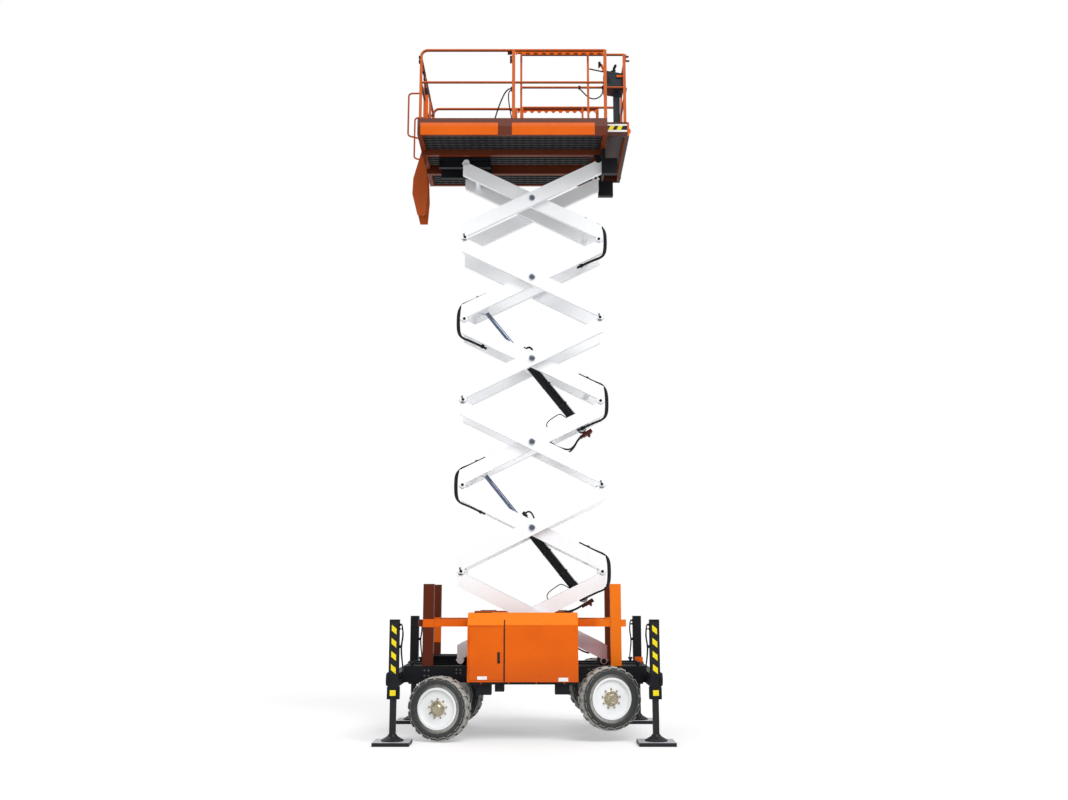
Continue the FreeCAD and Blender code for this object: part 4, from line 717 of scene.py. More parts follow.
world = bpy.data.worlds.new("studio")
scene.world = world
world.use_nodes = True
tree = world.node_tree
tree.nodes.clear()
out = tree.nodes.new("ShaderNodeOutputWorld")
soft = tree.nodes.new("ShaderNodeBackground")
soft.inputs["Strength"].default_value = 0.50
soft.inputs["Color"].default_value = (0.97, 0.98, 1.0, 1)
shown = tree.nodes.new("ShaderNodeBackground")
shown.inputs["Color"].default_value = (1, 1, 1, 1)
shown.inputs["Strength"].default_value = 1.0
rays = tree.nodes.new("ShaderNodeLightPath")
either = tree.nodes.new("ShaderNodeMath")
either.operation = "MAXIMUM"
tree.links.new(rays.outputs["Is Camera Ray"], either.inputs[0])
tree.links.new(rays.outputs["Is Transmission Ray"], either.inputs[1])
sky_mix = tree.nodes.new("ShaderNodeMixShader")
tree.links.new(either.outputs[0], sky_mix.inputs[0])
tree.links.new(soft.outputs[0], sky_mix.inputs[1])
tree.links.new(shown.outputs[0], sky_mix.inputs[2])
tree.links.new(sky_mix.outputs[0], out.inputs["Surface"])

# Suns: name, strength, softness in degrees, and the direction that the light comes from
SUNS = (("key", 2.0, 35, (0.38, -0.75, 0.85)), ("fill", 0.50, 60, (-0.8, -0.7, 0.30)),
        ("back", 0.40, 60, (-0.2, 0.9, 0.6)))
for name, strength, softness, source in SUNS:
    lamp = bpy.data.lights.new(name, "SUN")
    lamp.energy = strength
    lamp.angle = math.radians(softness)
    holder = bpy.data.objects.new(name, lamp)
    holder.rotation_euler = Vector(source).to_track_quat("Z", "Y").to_euler()
    scene.collection.objects.link(holder)

floor_bm = bmesh.new()
bmesh.ops.create_grid(floor_bm, x_segments=2, y_segments=2, size=60)
floor_mesh = bpy.data.meshes.new("floor")
floor_bm.to_mesh(floor_mesh)
floor_bm.free()
floor = bpy.data.objects.new("floor", floor_mesh)
scene.collection.objects.link(floor)
floor_look = bpy.data.materials.new("floor_look")
floor_look.use_nodes = True
tree = floor_look.node_tree
shade = tree.nodes["Principled BSDF"]
shade.inputs["Base Color"].default_value = (0.86, 0.86, 0.86, 1)
shade.inputs["Roughness"].default_value = 0.9
shade.inputs["Specular IOR Level"].default_value = 0.1
glow = tree.nodes.new("ShaderNodeEmission")
glow.inputs["Strength"].default_value = 1.75
rays = tree.nodes.new("ShaderNodeLightPath")
share = tree.nodes.new("ShaderNodeMath")
share.operation = "MULTIPLY"
share.inputs[1].default_value = 0.20
tree.links.new(rays.outputs["Is Camera Ray"], share.inputs[0])
join = tree.nodes.new("ShaderNodeMixShader")
tree.links.new(share.outputs[0], join.inputs[0])
tree.links.new(shade.outputs[0], join.inputs[1])
tree.links.new(glow.outputs[0], join.inputs[2])
tree.links.new(join.outputs[0], tree.nodes["Material Output"].inputs["Surface"])
floor_mesh.materials.append(floor_look)


# Wheels
def wheel_matrix(sx, sy, height, steer):
    """From a frame at a far wheel's kingpin, out along +Y, to the wheel's own corner."""
    return (Matrix.Translation((sx * 1.040, sy * 0.870, height))
            @ Matrix.Rotation(math.radians(steer), 4, "Z")
            @ Matrix.Diagonal((1, sy, 1, 1)))


def on_tyre(angle, y, radius):
    return (radius * math.cos(angle), y, radius * math.sin(angle))


TYRE_PROFILE = ((0.2415, -0.088), (0.262, -0.0925), (0.268, -0.101), (0.300, -0.1195),
                (0.306, -0.1175), (0.312, -0.1195), (0.338, -0.1185), (0.344, -0.116),
                (0.352, -0.114), (0.366, -0.106), (0.376, -0.094), (0.380, -0.060),
                (0.381, 0.0))
TYRE_LUGS = 20


def build_tyre(bm):
    """Round carcass with ringed sidewalls, and two staggered rows of curved lugs."""
    rings = list(TYRE_PROFILE) + [(r, -y) for r, y in reversed(TYRE_PROFILE[:-1])]
    sides = 96
    verts = [[bm.verts.new(on_tyre(2 * math.pi * i / sides, 0.140 + y, r))
              for i in range(sides)] for r, y in rings]
    for first, second in zip(verts, verts[1:] + verts[:1]):
        for i in range(sides):
            j = (i + 1) % sides
            bm.faces.new((first[i], first[j], second[j], second[i]))
    steps = ((0.006, 0.3955, 0.0), (0.060, 0.3945, 0.4), (0.100, 0.390, 0.75),
             (0.1165, 0.376, 1.0), (0.1200, 0.356, 1.0))
    for row in (-1, 1):
        for number in range(TYRE_LUGS):
            start = 2 * math.pi * (number + (0.5 if row > 0 else 0.0)) / TYRE_LUGS
            outer = []
            root = []
            for y, radius, share in steps:
                left = (-0.028 + 0.015 * share) / 0.385 + start
                right = (0.054 + 0.015 * share) / 0.385 + start
                spots = [left + (right - left) * t for t in (0.0, 0.25, 0.5, 0.75, 1.0)]
                outer.append([bm.verts.new(on_tyre(a, 0.140 + row * y, radius)) for a in spots])
                sunk = min(radius - 0.012, 0.374)
                inner_y = min(y, 0.108)
                root.append([bm.verts.new(on_tyre(a, 0.140 + row * inner_y, sunk))
                             for a in spots])
            for grid in (outer, root):
                for near_row, far_row in zip(grid, grid[1:]):
                    for k in range(4):
                        bm.faces.new((near_row[k], near_row[k + 1], far_row[k + 1], far_row[k]))
            for i in range(len(steps) - 1):
                for k in (0, 4):
                    bm.faces.new((outer[i][k], outer[i + 1][k], root[i + 1][k], root[i][k]))
            for i in (0, len(steps) - 1):
                for k in range(4):
                    bm.faces.new((outer[i][k], outer[i][k + 1], root[i][k + 1], root[i][k]))


HUB_PROFILE = ((0.0955, 0.2105), (0.0955, 0.2155), (0.088, 0.219), (0.0835, 0.226),
               (0.079, 0.236), (0.066, 0.256), (0.0525, 0.2705), (0.048, 0.2725), (0.044, 0.2705),
               (0.030, 0.2700), (0.027, 0.2740), (0.0, 0.2740))


def build_hub(bm):
    """Plated drive hub: stepped cap with its ring of small screws."""
    add_lathe(bm, (0, 0, 0), (0, 1, 0), HUB_PROFILE, 48)
    for number in range(6):
        angle = 2 * math.pi * number / 6
        add_bolt(bm, (0.038 * math.cos(angle), 0.2700, 0.038 * math.sin(angle)), (0, 1, 0), 0.011)


def build_studs(bm):
    """Nine wheel nuts with their stud ends, on the disc round the hub."""
    for number in range(9):
        angle = 2 * math.pi * (number + 0.25) / 9
        place = Vector((0.116 * math.cos(angle), 0.2100, 0.116 * math.sin(angle)))
        add_lathe(bm, place, (0, 1, 0), [(0, 0), (0.014, 0), (0.013, 0.003), (0, 0.003)], 18)
        add_lathe(bm, place, (0, 1, 0), [(0, 0.002), (0.0115, 0.002), (0.0115, 0.012),
                                         (0.0095, 0.015), (0, 0.015)], 6)
        add_lathe(bm, place, (0, 1, 0), [(0, 0.012), (0.006, 0.012), (0.006, 0.024),
                                         (0.0045, 0.026), (0, 0.026)], 12)


for end, sx, height, steer in ENDS:
    for side_name, sy in SIDES:
        corner = end + "_" + side_name
        body = "wheel_" + corner
        matrix = wheel_matrix(sx, sy, height, steer)
        tyre = made("tyre_dressed_" + corner, body, rubber, build_tyre,
                    0.0, matrix, 38)
        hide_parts("tyre_" + corner)
        made("hub_cap_" + corner, body, zinc, build_hub, 0.0, matrix, 35)
        made("wheel_nuts_" + corner, body, zinc, build_studs, 0.0, matrix)


# Jacks: hazard marking, side bosses, valve and hoses on each housing
HAZARD_BAR = {"width": 0.060, "height": 0.072, "slant": 0.048}


def build_hazard(bm, x, y, slices):
    """Bars that slant down to the right, on an upright strip that faces the camera's side."""
    left, right = x - HAZARD_BAR["width"] / 2, x + HAZARD_BAR["width"] / 2
    for z in slices:
        high, low = z + HAZARD_BAR["slant"] / 2, z - HAZARD_BAR["slant"] / 2
        add_prism(bm, [(left, y, high), (right, y, low), (right, y, low + HAZARD_BAR["height"]),
                       (left, y, high + HAZARD_BAR["height"])], (0, -0.0012, 0))


for end, sx, height, steer in ENDS:
    for side_name, sy in SIDES:
        corner = end + "_" + side_name
        x = sx * 1.630
        y = sy * 1.300
        face = sy * 1.360
        if sy < 0:
            boxes("hazard_board_" + corner, "chassis", black_trim,
                  [((x - 0.052, face - 0.0022, 0.845), (x + 0.052, face - 0.0002, 1.478))], 0.0)
            made("hazard_bars_" + corner, "chassis", yellow,
                 lambda bm: build_hazard(bm, x, face - 0.0022, (0.872, 1.031, 1.190, 1.349)))
            boxes("blank_plate_" + corner, "chassis", yellow,
                  [((x - 0.036, -1.3795, 0.588), (x + 0.036, -1.3782, 0.655))], 0.0)
        def boss(bm):
            add_lathe(bm, (sx * 1.6902, y, 0.780), (sx, 0, 0),
                      [(0, 0), (0.088, 0), (0.088, 0.010), (0.083, 0.021), (0.070, 0.029),
                       (0.050, 0.0325), (0, 0.0325)], 48)
            for number in range(4):
                angle = math.pi / 4 + math.pi / 2 * number
                add_bolt(bm, (sx * 1.7135, y + 0.060 * math.cos(angle),
                              0.780 + 0.060 * math.sin(angle)), (sx, 0, 0), 0.015)
        made("jack_boss_" + corner, "chassis", black, boss, 0.0, None, 35)

        inboard = x - sx * 0.0602
        def valve(bm):
            add_lathe(bm, (inboard, y, 1.445), (-sx, 0, 0),
                      [(0, 0), (0.016, 0), (0.016, 0.012), (0.011, 0.016), (0.011, 0.034),
                       (0, 0.034)], 16)
            add_lathe(bm, (inboard, y + sy * 0.03, 1.395), (-sx, 0, 0),
                      [(0, 0), (0.014, 0), (0.014, 0.012), (0.010, 0.016), (0, 0.016)], 16)
            add_box(bm, (min(inboard, inboard - sx * 0.032), y - 0.040, 1.160),
                    (max(inboard, inboard - sx * 0.032), y + 0.040, 1.195))
        made("jack_valve_" + corner, "chassis", black, valve, 0.0, None, 40)
        for number, (side, top, low) in enumerate(((-0.022, 1.448, 0.94), (0.022, 1.395, 0.90))):
            hose("jack_hose_" + corner + "_" + str(number),
                 [(inboard - sx * 0.018, y + side, top), (inboard - sx * 0.040, y + side, top),
                  (inboard - sx * 0.046, y + side, 1.30), (inboard - sx * 0.026, y + side, 1.19),
                  (inboard - sx * 0.030, y + side, 1.08), (inboard - sx * 0.052, y + side, low),
                  (inboard - sx * 0.052, y - sy * 0.045 + side, low - 0.060),
                  (inboard - sx * 0.040, y - sy * 0.085 + side, low - 0.110),
                  (inboard - sx * 0.004, y - sy * 0.090 + side, low - 0.120)],
                 0.0085, "chassis")
        # Rows of bolts round the guide and on the pad's hinge plate
        bolts("jack_bolts_" + corner, "chassis",
              [(x + dx, sy * 1.3756, z) for dx in (-0.055, 0.055) for z in (0.565, 0.672)],
              (0, sy, 0), 0.018)
        bolts("pad_bolts_" + corner, "jack_" + corner,
              [(x + 0.112 * math.cos(a), y + 0.112 * math.sin(a), 0.0590)
               for a in (0.785, 2.356, 3.927, 5.498)], (0, 0, 1), 0.020)

boxes("outrigger_valve", "chassis", orange,
      [((1.585, 1.150, 0.852), (1.700, 1.215, 0.930))], 0.004)
made("beam_breathers", "chassis", black,
     lambda bm: [add_lathe(bm, (sx * 1.475, sy * 0.62, 0.9055), (0, 0, 1),
                           [(0, 0), (0.018, 0), (0.018, 0.022), (0.032, 0.024), (0.032, 0.044),
                            (0.026, 0.052), (0, 0.052)], 24)
                 for sx in (-1, 1) for sy in (-1, 1)], 0.0, None, 40)
bolts("beam_bolts", "chassis",
      [(sx * xx, -0.6900, z) for sx in (-1, 1) for xx in (0.835, 0.885) for z in (0.815, 0.860)]
      + [(sx * xx, -0.6900, z) for sx in (-1, 1) for xx in (1.250, 1.300)
         for z in (0.780, 0.850)], (0, -1, 0), 0.022, cast)


# Covers and doors: seals, handles, blank plates, pads and bolts
def cover_strip(bm, sy):
    """Dark seal beside the door's free edge, up the side and over the slope."""
    for points in (((0.737, 1.1602), (1.438, 1.1602), (1.438, 1.1622), (0.737, 1.1622)),
                   ((1.438, 1.1602), (1.500, 1.1019), (1.501, 1.1045), (1.438, 1.1622))):
        add_prism(bm, [(-0.2622, sy * y, z) for z, y in points], (0.015, 0, 0))


for side_name, sy in SIDES:
    made("door_seal_" + side_name, "chassis", black_trim,
         lambda bm: cover_strip(bm, sy))
    y0, y1 = sorted((sy * 1.1605, sy * 1.1735))
    boxes("door_handle_dark_" + side_name, "door_" + side_name, black_trim,
          [((-0.3415, y0, 0.968), (-0.3085, y1, 1.102))], 0.004)
    y0, y1 = sorted((sy * 1.1602, sy * 1.1615))
    boxes("blank_plates_" + side_name, "chassis", blank_white,
          [((0.428, y0, 0.744), (0.551, y1, 0.790))], 0.0)
    boxes("blank_door_plate_" + side_name, "door_" + side_name, blank_white,
          [((-0.595, y0, 0.765), (-0.473, y1, 0.806))], 0.0)
    y0, y1 = sorted((sy * 1.010, sy * 0.960))
    boxes("cover_pads_" + side_name, "chassis", black_trim,
          [((-0.650, y0, 1.5873), (-0.425, y1, 1.596)), ((0.390, y0, 1.5873), (0.600, y1, 1.596))],
          0.004)
    bolts("cover_bolts_" + side_name, "chassis",
          [(x, sy * 1.1602, z) for x in (-0.22, 0.20, 0.64) for z in (0.80, 1.385)]
          + [(x, sy * 1.1402, 0.722) for x in (-0.55, -0.2, 0.15, 0.5)],
          (0, sy, 0), 0.014, orange_cover)

# Engine behind the near door: rocker cover, belt drive, filter and pipes
def engine_dress(bm):
    add_box(bm, (-0.180, -1.010, 1.2805), (0.400, -0.850, 1.335))
    for x in (-0.13, 0.0, 0.13, 0.26):
        add_box(bm, (x, -1.020, 1.2805), (x + 0.018, -0.840, 1.342))
    for y, z, radius in ((-0.930, 0.930, 0.090), (-1.010, 1.120, 0.050), (-0.850, 1.150, 0.060)):
        add_lathe(bm, (-0.2602, y, z), (-1, 0, 0),
                  [(0, 0), (radius * 0.5, 0), (radius * 0.5, 0.012), (radius, 0.012),
                   (radius * 0.90, 0.022), (radius, 0.032), (radius * 0.6, 0.032),
                   (radius * 0.55, 0.026), (0, 0.026)], 36)
    for z in (0.85, 0.95, 1.05, 1.15):
        add_box(bm, (-0.230, -1.1020, z), (0.470, -1.0955, z + 0.022))
    add_lathe(bm, (0.250, -1.0956, 0.960), (0, -1, 0),
              [(0, 0), (0.045, 0), (0.048, 0.006), (0.048, 0.030), (0.030, 0.036), (0, 0.036)], 28)


made("engine_dress", "chassis", cast, engine_dress, 0.0, None, 30)
hose("engine_hose", [(-0.14, -0.93, 1.305), (-0.14, -0.93, 1.385), (-0.19, -0.90, 1.405),
                     (-0.30, -0.87, 1.37), (-0.36, -0.86, 1.22), (-0.36, -0.86, 1.02),
                     (-0.34, -0.86, 0.86), (-0.34, -0.86, 0.763)], 0.016, "chassis")


# Scissor stack: pin caps, pin keepers, hoses that cross the joints, cylinder fittings
def pin_cap(bm, x, sy, z, radius, start):
    add_lathe(bm, (x, sy * start, z), (0, sy, 0),
              [(0, 0), (radius, 0), (radius, 0.0035), (radius * 0.86, 0.006),
               (radius * 0.55, 0.006), (radius * 0.50, 0.004), (radius * 0.20, 0.004),
               (radius * 0.17, 0.010), (0, 0.010)], 32)


for level in range(1, LEVELS + 1):
    z_mid = BASE_PIN[1] + (LEVELS + 0.5 - level) * CROSS_HEIGHT
    body = "outer_arms_" + str(level)

    def centre_rings(bm):
        for sy in (-1, 1):
            pin_cap(bm, STACK_X, sy, z_mid, 0.0445, 0.4455)

    def centre_plugs(bm):
        for sy in (-1, 1):
            add_lathe(bm, (STACK_X + 0.004, sy * 0.4496, z_mid), (0, sy, 0),
                      [(0, 0), (0.030, 0), (0.030, 0.0055), (0.025, 0.008), (0, 0.008)], 28)

    # End pins between outer arms: black plug and upright tab; between inner arms a plug alone
    sign = -1 if level % 2 == 0 else 1
    z_end = z_mid + CROSS_HEIGHT / 2

    def end_keepers(bm):
        x = STACK_X + sign * CROSS_WIDTH / 2
        for sy in (-1, 1):
            pin_cap(bm, x, sy, z_end, 0.0200, 0.4450)
            y0, y1 = sorted((sy * 0.4452, sy * 0.4490))
            add_box(bm, (x - 0.022, y0, z_end + 0.018), (x - 0.004, y1, z_end + 0.052))
            add_box(bm, (x - 0.030, y0, z_end - 0.044), (x + 0.024, y1, z_end - 0.034))

    def inner_plugs(bm):
        for sy in (-1, 1):
            pin_cap(bm, STACK_X - sign * CROSS_WIDTH / 2, sy, z_end, 0.0200, 0.3548)
    made("centre_rings_" + str(level), body, blued, centre_rings, 0.0, None, 35)
    made("centre_plugs_" + str(level), body, cast, centre_plugs, 0.0, None, 35)
    if level > 1:
        made("end_keepers_" + str(level), body, black_trim, end_keepers, 0.0,
             None, 35)
        made("inner_plugs_" + str(level), "inner_arms_" + str(level), black_trim,
             inner_plugs, 0.0, None, 35)

for upper in range(1, LEVELS):
    lower = upper + 1
    lower_right = lower % 2 == 0
    low_frame = leaning(lower, lower_right)
    up_frame = leaning(upper, not lower_right)
    sign = 1 if lower_right else -1
    joint = Vector((STACK_X + sign * CROSS_WIDTH / 2, 0,
                    BASE_PIN[1] + (LEVELS - upper) * CROSS_HEIGHT))
    # Every second joint's hoses lie farther in and higher, to pass the others when folded
    inset, lift = (0.075, 0.022) if lower in (3, 4) else (0.0, 0.0)
    for number in range(3):
        y = -0.243 + 0.025 * number + inset
        route = [low_frame @ Vector((a, y, u))
                 for a, u in ((0.650, -0.172), (0.780, -0.186), (0.900, -0.198),
                              (1.035, -0.224))]
        route += [joint + Vector((sign * (out + 0.014 * number), y, dz))
                  for out, dz in ((0.078, -0.155), (0.086, 0.0), (0.078, 0.155))]
        route += [up_frame @ Vector((a, y, u + lift))
                  for a, u in ((-1.035, 0.220), (-0.900, 0.195), (-0.780, 0.183),
                               (-0.650, 0.170))]
        hose("joint_hose_{}_{}_{}".format(lower, upper, number), [tuple(p) for p in route],
             0.0125, "inner_arms_" + str(lower), "inner_arms_" + str(upper))
    # Clamps that reach from both arms to the hoses
    y0, y1 = inset - 0.2555, inset - 0.1835
    boxes("hose_clamp_low_" + str(lower), "inner_arms_" + str(lower), black_trim,
          [((0.700, -0.2625, -0.130), (0.735, y1, -0.100)),
                            ((0.700, y0, -0.200), (0.735, y1, -0.130))], 0.003, low_frame)
    boxes("hose_clamp_high_" + str(upper), "inner_arms_" + str(upper), black_trim,
          [((-0.800, -0.2625, 0.100), (-0.765, y1, 0.130)),
                            ((-0.800, y0, 0.130), (-0.765, y1, 0.204 + lift))], 0.003, up_frame)

# The lower valve hoses sag less: the frame is close under them when the stack is folded
SAGS = {"lower": (0.250, 0.235, 0.200, 0.160, 0.120),
        "upper": (0.262, 0.325, 0.345, 0.270, 0.175)}
for kind, level in (("lower", 6), ("upper", 4)):
    rise = 0.0 if kind == "lower" else 2 * CROSS_HEIGHT
    arm = leaning(level, True)
    inner = "inner_arms_" + str(level)
    barrel = "barrel_" + kind
    cylinder = on_cylinder(rise)
    # Valve block under the base clevis, with its hoses
    def block(bm):
        add_box(bm, (0.690, -0.110, -0.285), (0.820, 0.110, -0.236))
        add_box(bm, (0.640, -0.060, -0.280), (0.690, 0.060, -0.240))
        for y in (-0.08, 0.0, 0.08):
            add_lathe(bm, (0.760, y, -0.285), (0, 0, -1),
                      [(0, 0), (0.018, 0), (0.018, 0.014), (0.011, 0.018), (0.011, 0.034),
                       (0, 0.034)], 16)
    made("valve_block_" + kind, inner, brown, block, 0.0, arm, 40)
    for number, sy in enumerate((-1, 1)):
        spots = ((0.600, 0.050), (0.500, 0.100), (0.400, 0.168), (0.310, 0.225), (0.240, 0.246))
        route = [arm @ Vector((0.712, sy * 0.045, -0.245))]
        route += [arm @ Vector((a, sy * y, -sag)) for (a, y), sag in zip(spots, SAGS[kind])]
        route += [arm @ Vector((0.215, sy * 0.252, -0.090))]
        hose("valve_hose_{}_{}".format(kind, number), [tuple(p) for p in route], 0.012, inner)
    # Thin hose in an arc from the near arm's top edge to the barrel
    route = [arm @ Vector(p) for p in ((0.300, -0.2555, 0.060), (0.280, -0.2480, 0.140))]
    route += [cylinder @ Vector(p) for p in
              ((0.350, -0.240, -0.150), (0.330, -0.170, -0.115), (0.270, -0.100, -0.085),
               (0.217, -0.045, -0.062), (0.190, -0.030, -0.060))]
    hose("barrel_arc_hose_" + kind, [tuple(p) for p in route], 0.0065, inner, barrel)
    # Gland, ports and the steel line along the barrel
    def gland(bm):
        add_lathe(bm, (1.325, 0, 0), (1, 0, 0),
                  [(0.0625, 0), (0.074, 0.003), (0.074, 0.040), (0.070, 0.046),
                   (0.070, 0.068), (0.0625, 0.071)], 48)
        for start in (0.170, 1.270):
            add_lathe(bm, (start, -0.040, 0.048), (0, -0.64, 0.77),
                      [(0, 0), (0.020, 0), (0.020, 0.022), (0.013, 0.026), (0, 0.026)], 18)
    made("barrel_gland_" + kind, barrel, steel, gland, 0.0, cylinder, 35)
    def clips(bm):
        for start in (0.42, 0.78, 1.14):
            add_lathe(bm, (start, 0, 0), (1, 0, 0),
                      [(0.0622, 0), (0.0650, 0.002), (0.0650, 0.028), (0.0622, 0.030)], 40)
            add_box(bm, (start + 0.003, -0.058, 0.046), (start + 0.027, -0.036, 0.068))
    made("barrel_clips_" + kind, barrel, black_trim, clips, 0.0, cylinder, 35)
    def line(bm):
        path = [(0.182, -0.052, 0.062), (0.215, -0.052, 0.062), (0.255, -0.048, 0.056),
                (0.30, -0.048, 0.056), (1.16, -0.048, 0.056), (1.21, -0.052, 0.062),
                (1.262, -0.052, 0.062)]
        add_sweep(bm, path, 0.007, 12)
    made("barrel_line_" + kind, barrel, steel, line, 0.0, cylinder, 40)
    # Port block at the barrel's head, with two hoses that turn back along the barrel
    boxes("head_block_" + kind, barrel, black_trim,
          [((1.345, -0.036, 0.066), (1.428, 0.036, 0.112)),
           ((1.300, -0.024, 0.066), (1.345, 0.024, 0.098))], 0.004, cylinder)
    for number, y in enumerate((-0.019, 0.019)):
        route = [cylinder @ Vector(p) for p in
                 ((1.395, y, 0.085), (1.400, y, 0.150), (1.350, y * 1.3, 0.178),
                  (1.270, y * 1.5, 0.160), (1.190, y * 1.5, 0.115), (1.110, y * 1.5, 0.080),
                  (1.030, y * 1.5, 0.076))]
        hose("head_hose_{}_{}".format(kind, number), [tuple(p) for p in route], 0.0105, barrel)

# Hoses along the underside of the lowest near arm
arm = leaning(6, False)
for number, y in enumerate((-0.410, -0.385)):
    route = [arm @ Vector((a, y, u)) for a, u in
             ((-0.900, -0.014), (-0.860, -0.036), (-0.700, -0.045), (-0.500, -0.064),
              (-0.300, -0.083), (-0.255, -0.072))]
    hose("foot_hose_" + str(number), [tuple(p) for p in route], 0.0105, "outer_arms_6")


# Platform: pans under the deck, toothed strips, latches and cables
def pan(bm, y0, y1, x0, x1):
    """Pressed tray: flat sheet with long ribs along the platform and a folded rim."""
    z = DECK_Z - 0.070
    count = max(2, round((y1 - y0) / 0.085))
    pitch = (y1 - y0) / count
    top = []
    for i in range(count):
        start = y0 + i * pitch
        top += [(start, z - 0.016), (start + pitch * 0.28, z - 0.016),
                (start + pitch * 0.40, z - 0.052), (start + pitch * 0.88, z - 0.052)]
    top.append((y1, z - 0.016))
    outline = [(x0, y, zz) for y, zz in top] + [(x0, y, zz + 0.003) for y, zz in reversed(top)]
    add_prism(bm, outline, (x1 - x0, 0, 0))


def slots(bm, y0, y1, x0, x1):
    """Raised lips of the drain slots in the pans' ribs."""
    count = max(2, round((y1 - y0) / 0.085))
    pitch = (y1 - y0) / count
    z = DECK_Z - 0.122
    for i in range(count):
        y = y0 + i * pitch + pitch * 0.64
        place = x0 + 0.06
        while place < x1 - 0.08:
            add_box(bm, (place, y - 0.007, z - 0.0025), (place + 0.055, y + 0.007, z))
            place += 0.105


PANS = (("near", -1.000, -0.455, -1.430, 1.070), ("middle", -0.160, 0.160, -1.430, 0.960),
        ("far", 0.455, 1.000, -1.430, 1.070))
for name, y0, y1, x0, x1 in PANS:
    made("deck_pan_" + name, "platform", black_trim,
         lambda bm: pan(bm, y0, y1, x0, x1))
    made("pan_lips_" + name, "platform", cast,
         lambda bm: slots(bm, y0, y1, x0, x1))


def toothed(bm, y):
    """Strip under a top rail: straight above, with a row of round notches below."""
    x = -0.140
    outline = [(x, y, 9.3180)]
    low = 9.2730
    while x < 1.045:
        outline.append((x, y, low))
        for k in range(9):
            angle = math.pi * (1 - k / 8)
            outline.append((x + 0.062 + 0.036 * math.cos(angle), y,
                            low + 0.030 * math.sin(angle)))
        x += 0.112
    outline += [(x, y, low), (x, y, 9.3180)]
    add_prism(bm, outline, (0, 0.006, 0))


# Painted shade: a dark brown sheet behind the near toothed strip stands for the shaded channel seen
# through the notches
boxes("strip_backing", "platform", brown,
      [((-0.140, -1.0325, 9.2850), (1.090, -1.0305, 9.3170))], 0.0)
for side_name, y in (("near", -1.039), ("far", 1.033)):
    made("toothed_strip_" + side_name, "platform", orange,
         lambda bm: toothed(bm, y))

for side_name, sy in SIDES:
    y0, y1 = sorted((sy * 1.018, sy * 0.992))
    boxes("rail_latches_" + side_name, "platform", brown,
          [((-0.252, y0, 9.290), (-0.190, y1, 9.330)), ((-0.220, y0, 9.160), (-0.190, y1, 9.270))],
          0.004)
    y0, y1 = sorted((sy * 1.068, sy * 1.020))
    boxes("corner_clamps_" + side_name, "platform", black_trim,
          [((-1.500, y0, 9.205), (-1.4840, y1, 9.246)), ((-1.500, y0, 9.140), (-1.4840, y1, 9.182))],
          0.004)
    # Support plate and gas spring that close the gate
    y0, y1 = sorted((sy * 0.985, sy * 0.965))
    boxes("gate_support_" + side_name, "platform", orange,
          [((-1.400, y0, DECK_Z + 0.001), (-1.330, y1, DECK_Z + 0.130)),
           ((-1.400, y0, DECK_Z + 0.130), (-1.362, y1, DECK_Z + 0.490))], 0.004)
    def spring(bm):
        low = Vector((-1.378, sy * 0.950, DECK_Z + 0.440))
        axis = Vector((-0.068, 0, 0.420)).normalized()
        add_lathe(bm, low, axis, [(0, 0), (0.010, 0), (0.012, 0.02), (0.022, 0.05),
                                  (0.024, 0.10), (0.022, 0.15), (0.012, 0.17), (0.008, 0.19),
                                  (0.008, 0.24), (0.015, 0.26), (0.015, 0.31), (0.007, 0.33),
                                  (0.007, 0.37), (0.012, 0.38), (0.012, 0.42), (0, 0.42)], 20)
        add_sweep(bm, [(-1.4435, sy * 0.948, DECK_Z + 0.846), (-1.459, sy * 1.024, DECK_Z + 0.846)],
                  0.007)
    made("gate_spring_" + side_name, "platform", black_trim, spring, 0.0,
         None, 40)

boxes("cable_clip", "platform", black_trim,
      [((-0.207, -1.0135, DECK_Z + 0.535), (-0.150, -0.984, DECK_Z + 0.600))], 0.004)
hose("deck_cable", [(-0.205, -0.998, DECK_Z + 0.575), (-0.245, -0.996, DECK_Z + 0.570),
                    (-0.300, -0.985, DECK_Z + 0.500), (-0.370, -0.975, DECK_Z + 0.330),
                    (-0.425, -0.960, DECK_Z + 0.150), (-0.460, -0.940, DECK_Z + 0.030),
                    (-0.540, -0.910, DECK_Z + 0.0105), (-0.680, -0.860, DECK_Z + 0.0105),
                    (-0.740, -0.840, DECK_Z + 0.0105)], 0.010, "platform")
boxes("cable_socket", "platform", black_trim,
      [((-0.800, -0.880, DECK_Z + 0.0005), (-0.735, -0.800, DECK_Z + 0.042))], 0.005)
hose("post_cable", [(-0.207, -0.998, DECK_Z + 0.550), (-0.235, -0.998, DECK_Z + 0.530),
                    (-0.240, -0.998, DECK_Z + 0.430), (-0.215, -0.998, DECK_Z + 0.250),
                    (-0.190, -0.998, DECK_Z + 0.120), (-0.188, -0.998, DECK_Z + 0.001)],
     0.008, "platform")

# Roll-out deck: hazard board, cable loop, guard bar and controls
boxes("nose_board", "extension", blank_white,
      [((1.150, -0.9700, 8.149), (1.420, -0.9683, 8.264))], 0.0)


def nose_bars(bm):
    for i in range(4):
        x = 1.152 + 0.067 * i
        if i % 2 == 0:
            add_prism(bm, [(x, -0.9700, 8.178), (x + 0.070, -0.9700, 8.178),
                           (x + 0.100, -0.9700, 8.238), (x + 0.030, -0.9700, 8.238)],
                      (0, -0.0010, 0))


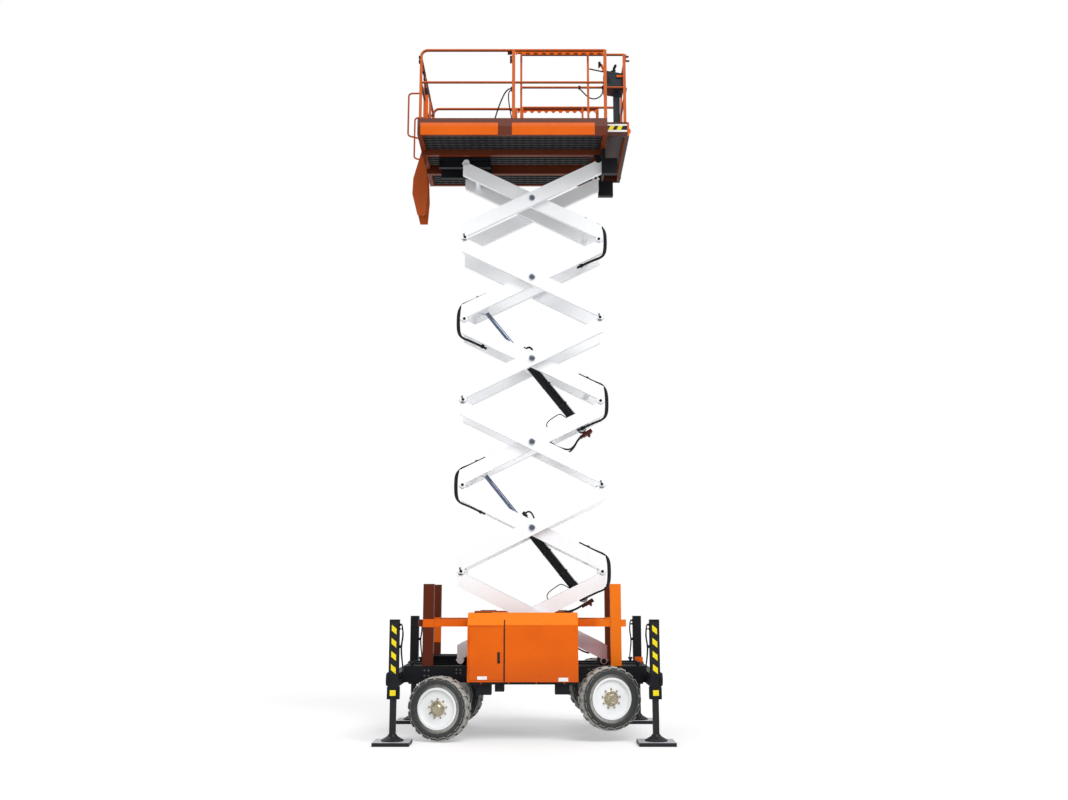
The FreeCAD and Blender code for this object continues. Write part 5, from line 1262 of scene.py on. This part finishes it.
boxes("nose_stripe", "extension", black_trim,
      [((1.151, -0.9706, 8.177), (1.419, -0.9701, 8.239))], 0.0)
made("nose_bars", "extension", yellow,
     lambda bm: [add_prism(bm, [(x, -0.9706, 8.178), (x + 0.062, -0.9706, 8.178),
                                (x + 0.092, -0.9706, 8.238), (x + 0.030, -0.9706, 8.238)],
                           (0, -0.0008, 0)) for x in (1.155, 1.270)])
boxes("loop_clips", "extension", black_trim,
      [((0.745, -0.955, 8.800), (0.775, -0.915, 8.846)),
       ((1.075, -0.955, 8.800), (1.105, -0.915, 8.846))], 0.004)
hose("rail_loop", [(0.762, -0.914, 8.815), (0.785, -0.902, 8.800), (0.860, -0.895, 8.715),
                   (0.930, -0.895, 8.670), (1.010, -0.895, 8.675), (1.070, -0.895, 8.720),
                   (1.092, -0.902, 8.775), (1.092, -0.914, 8.810)], 0.009, "extension")
tube("guard_bar", "extension", brown,
     [[(0.900, -0.936, 9.105), (1.110, -0.930, 9.062)]], 0.010, 12)


def lever(bm):
    add_prism(bm, [(1.050, -0.925, 9.180), (1.085, -0.925, 9.190), (1.140, -0.925, 9.050),
                   (1.112, -0.925, 9.030)], (0, 0.008, 0))


made("speed_lever", "extension", orange, lever, 0.002)
made("speed_lever_grip", "extension", black_trim,
     lambda bm: add_prism(bm, [(1.028, -0.930, 9.215), (1.058, -0.930, 9.225),
                               (1.078, -0.930, 9.165), (1.030, -0.930, 9.115)],
                          (0, 0.018, 0)), 0.004)
def stick_grip(bm):
    axis = Vector((0.055, 0, 0.120)).normalized()
    add_lathe(bm, (1.236, -0.786, 9.122), axis,
              [(0, 0), (0.030, 0), (0.026, 0.012), (0.020, 0.024), (0.010, 0.030), (0.010, 0.048),
               (0.019, 0.056), (0.021, 0.085), (0.019, 0.118), (0.012, 0.128), (0, 0.130)], 24)


made("stick_grip", "extension", black_trim, stick_grip, 0.0, None, 40)


def nose_tab(bm):
    for sy in (-1, 1):
        add_lathe(bm, (1.428, sy * 0.952, 8.168), (0, -sy, 0),
                  [(0, 0), (0.044, 0), (0.046, 0.002), (0.046, 0.012), (0.044, 0.014), (0, 0.014)],
                  36)


made("nose_tabs", "extension", orange, nose_tab, 0.0, None, 35)
boxes("box_stay", "extension", orange,
      [((1.286, -0.936, 8.985), (1.378, -0.912, 9.013))], 0.003)
boxes("box_seam", "extension", black_trim,
      [((1.112, -0.9125, 9.040), (1.376, -0.9112, 9.047)),
       ((1.120, -0.9125, 8.900), (1.200, -0.9112, 8.990))], 0.0)
tube("rail_knobs", "extension", brown,
     [[(1.416, -0.935, 9.290), (1.462, -0.935, 9.290)],
      [(1.416, -0.935, 9.225), (1.470, -0.935, 9.225)]], 0.014, 16)
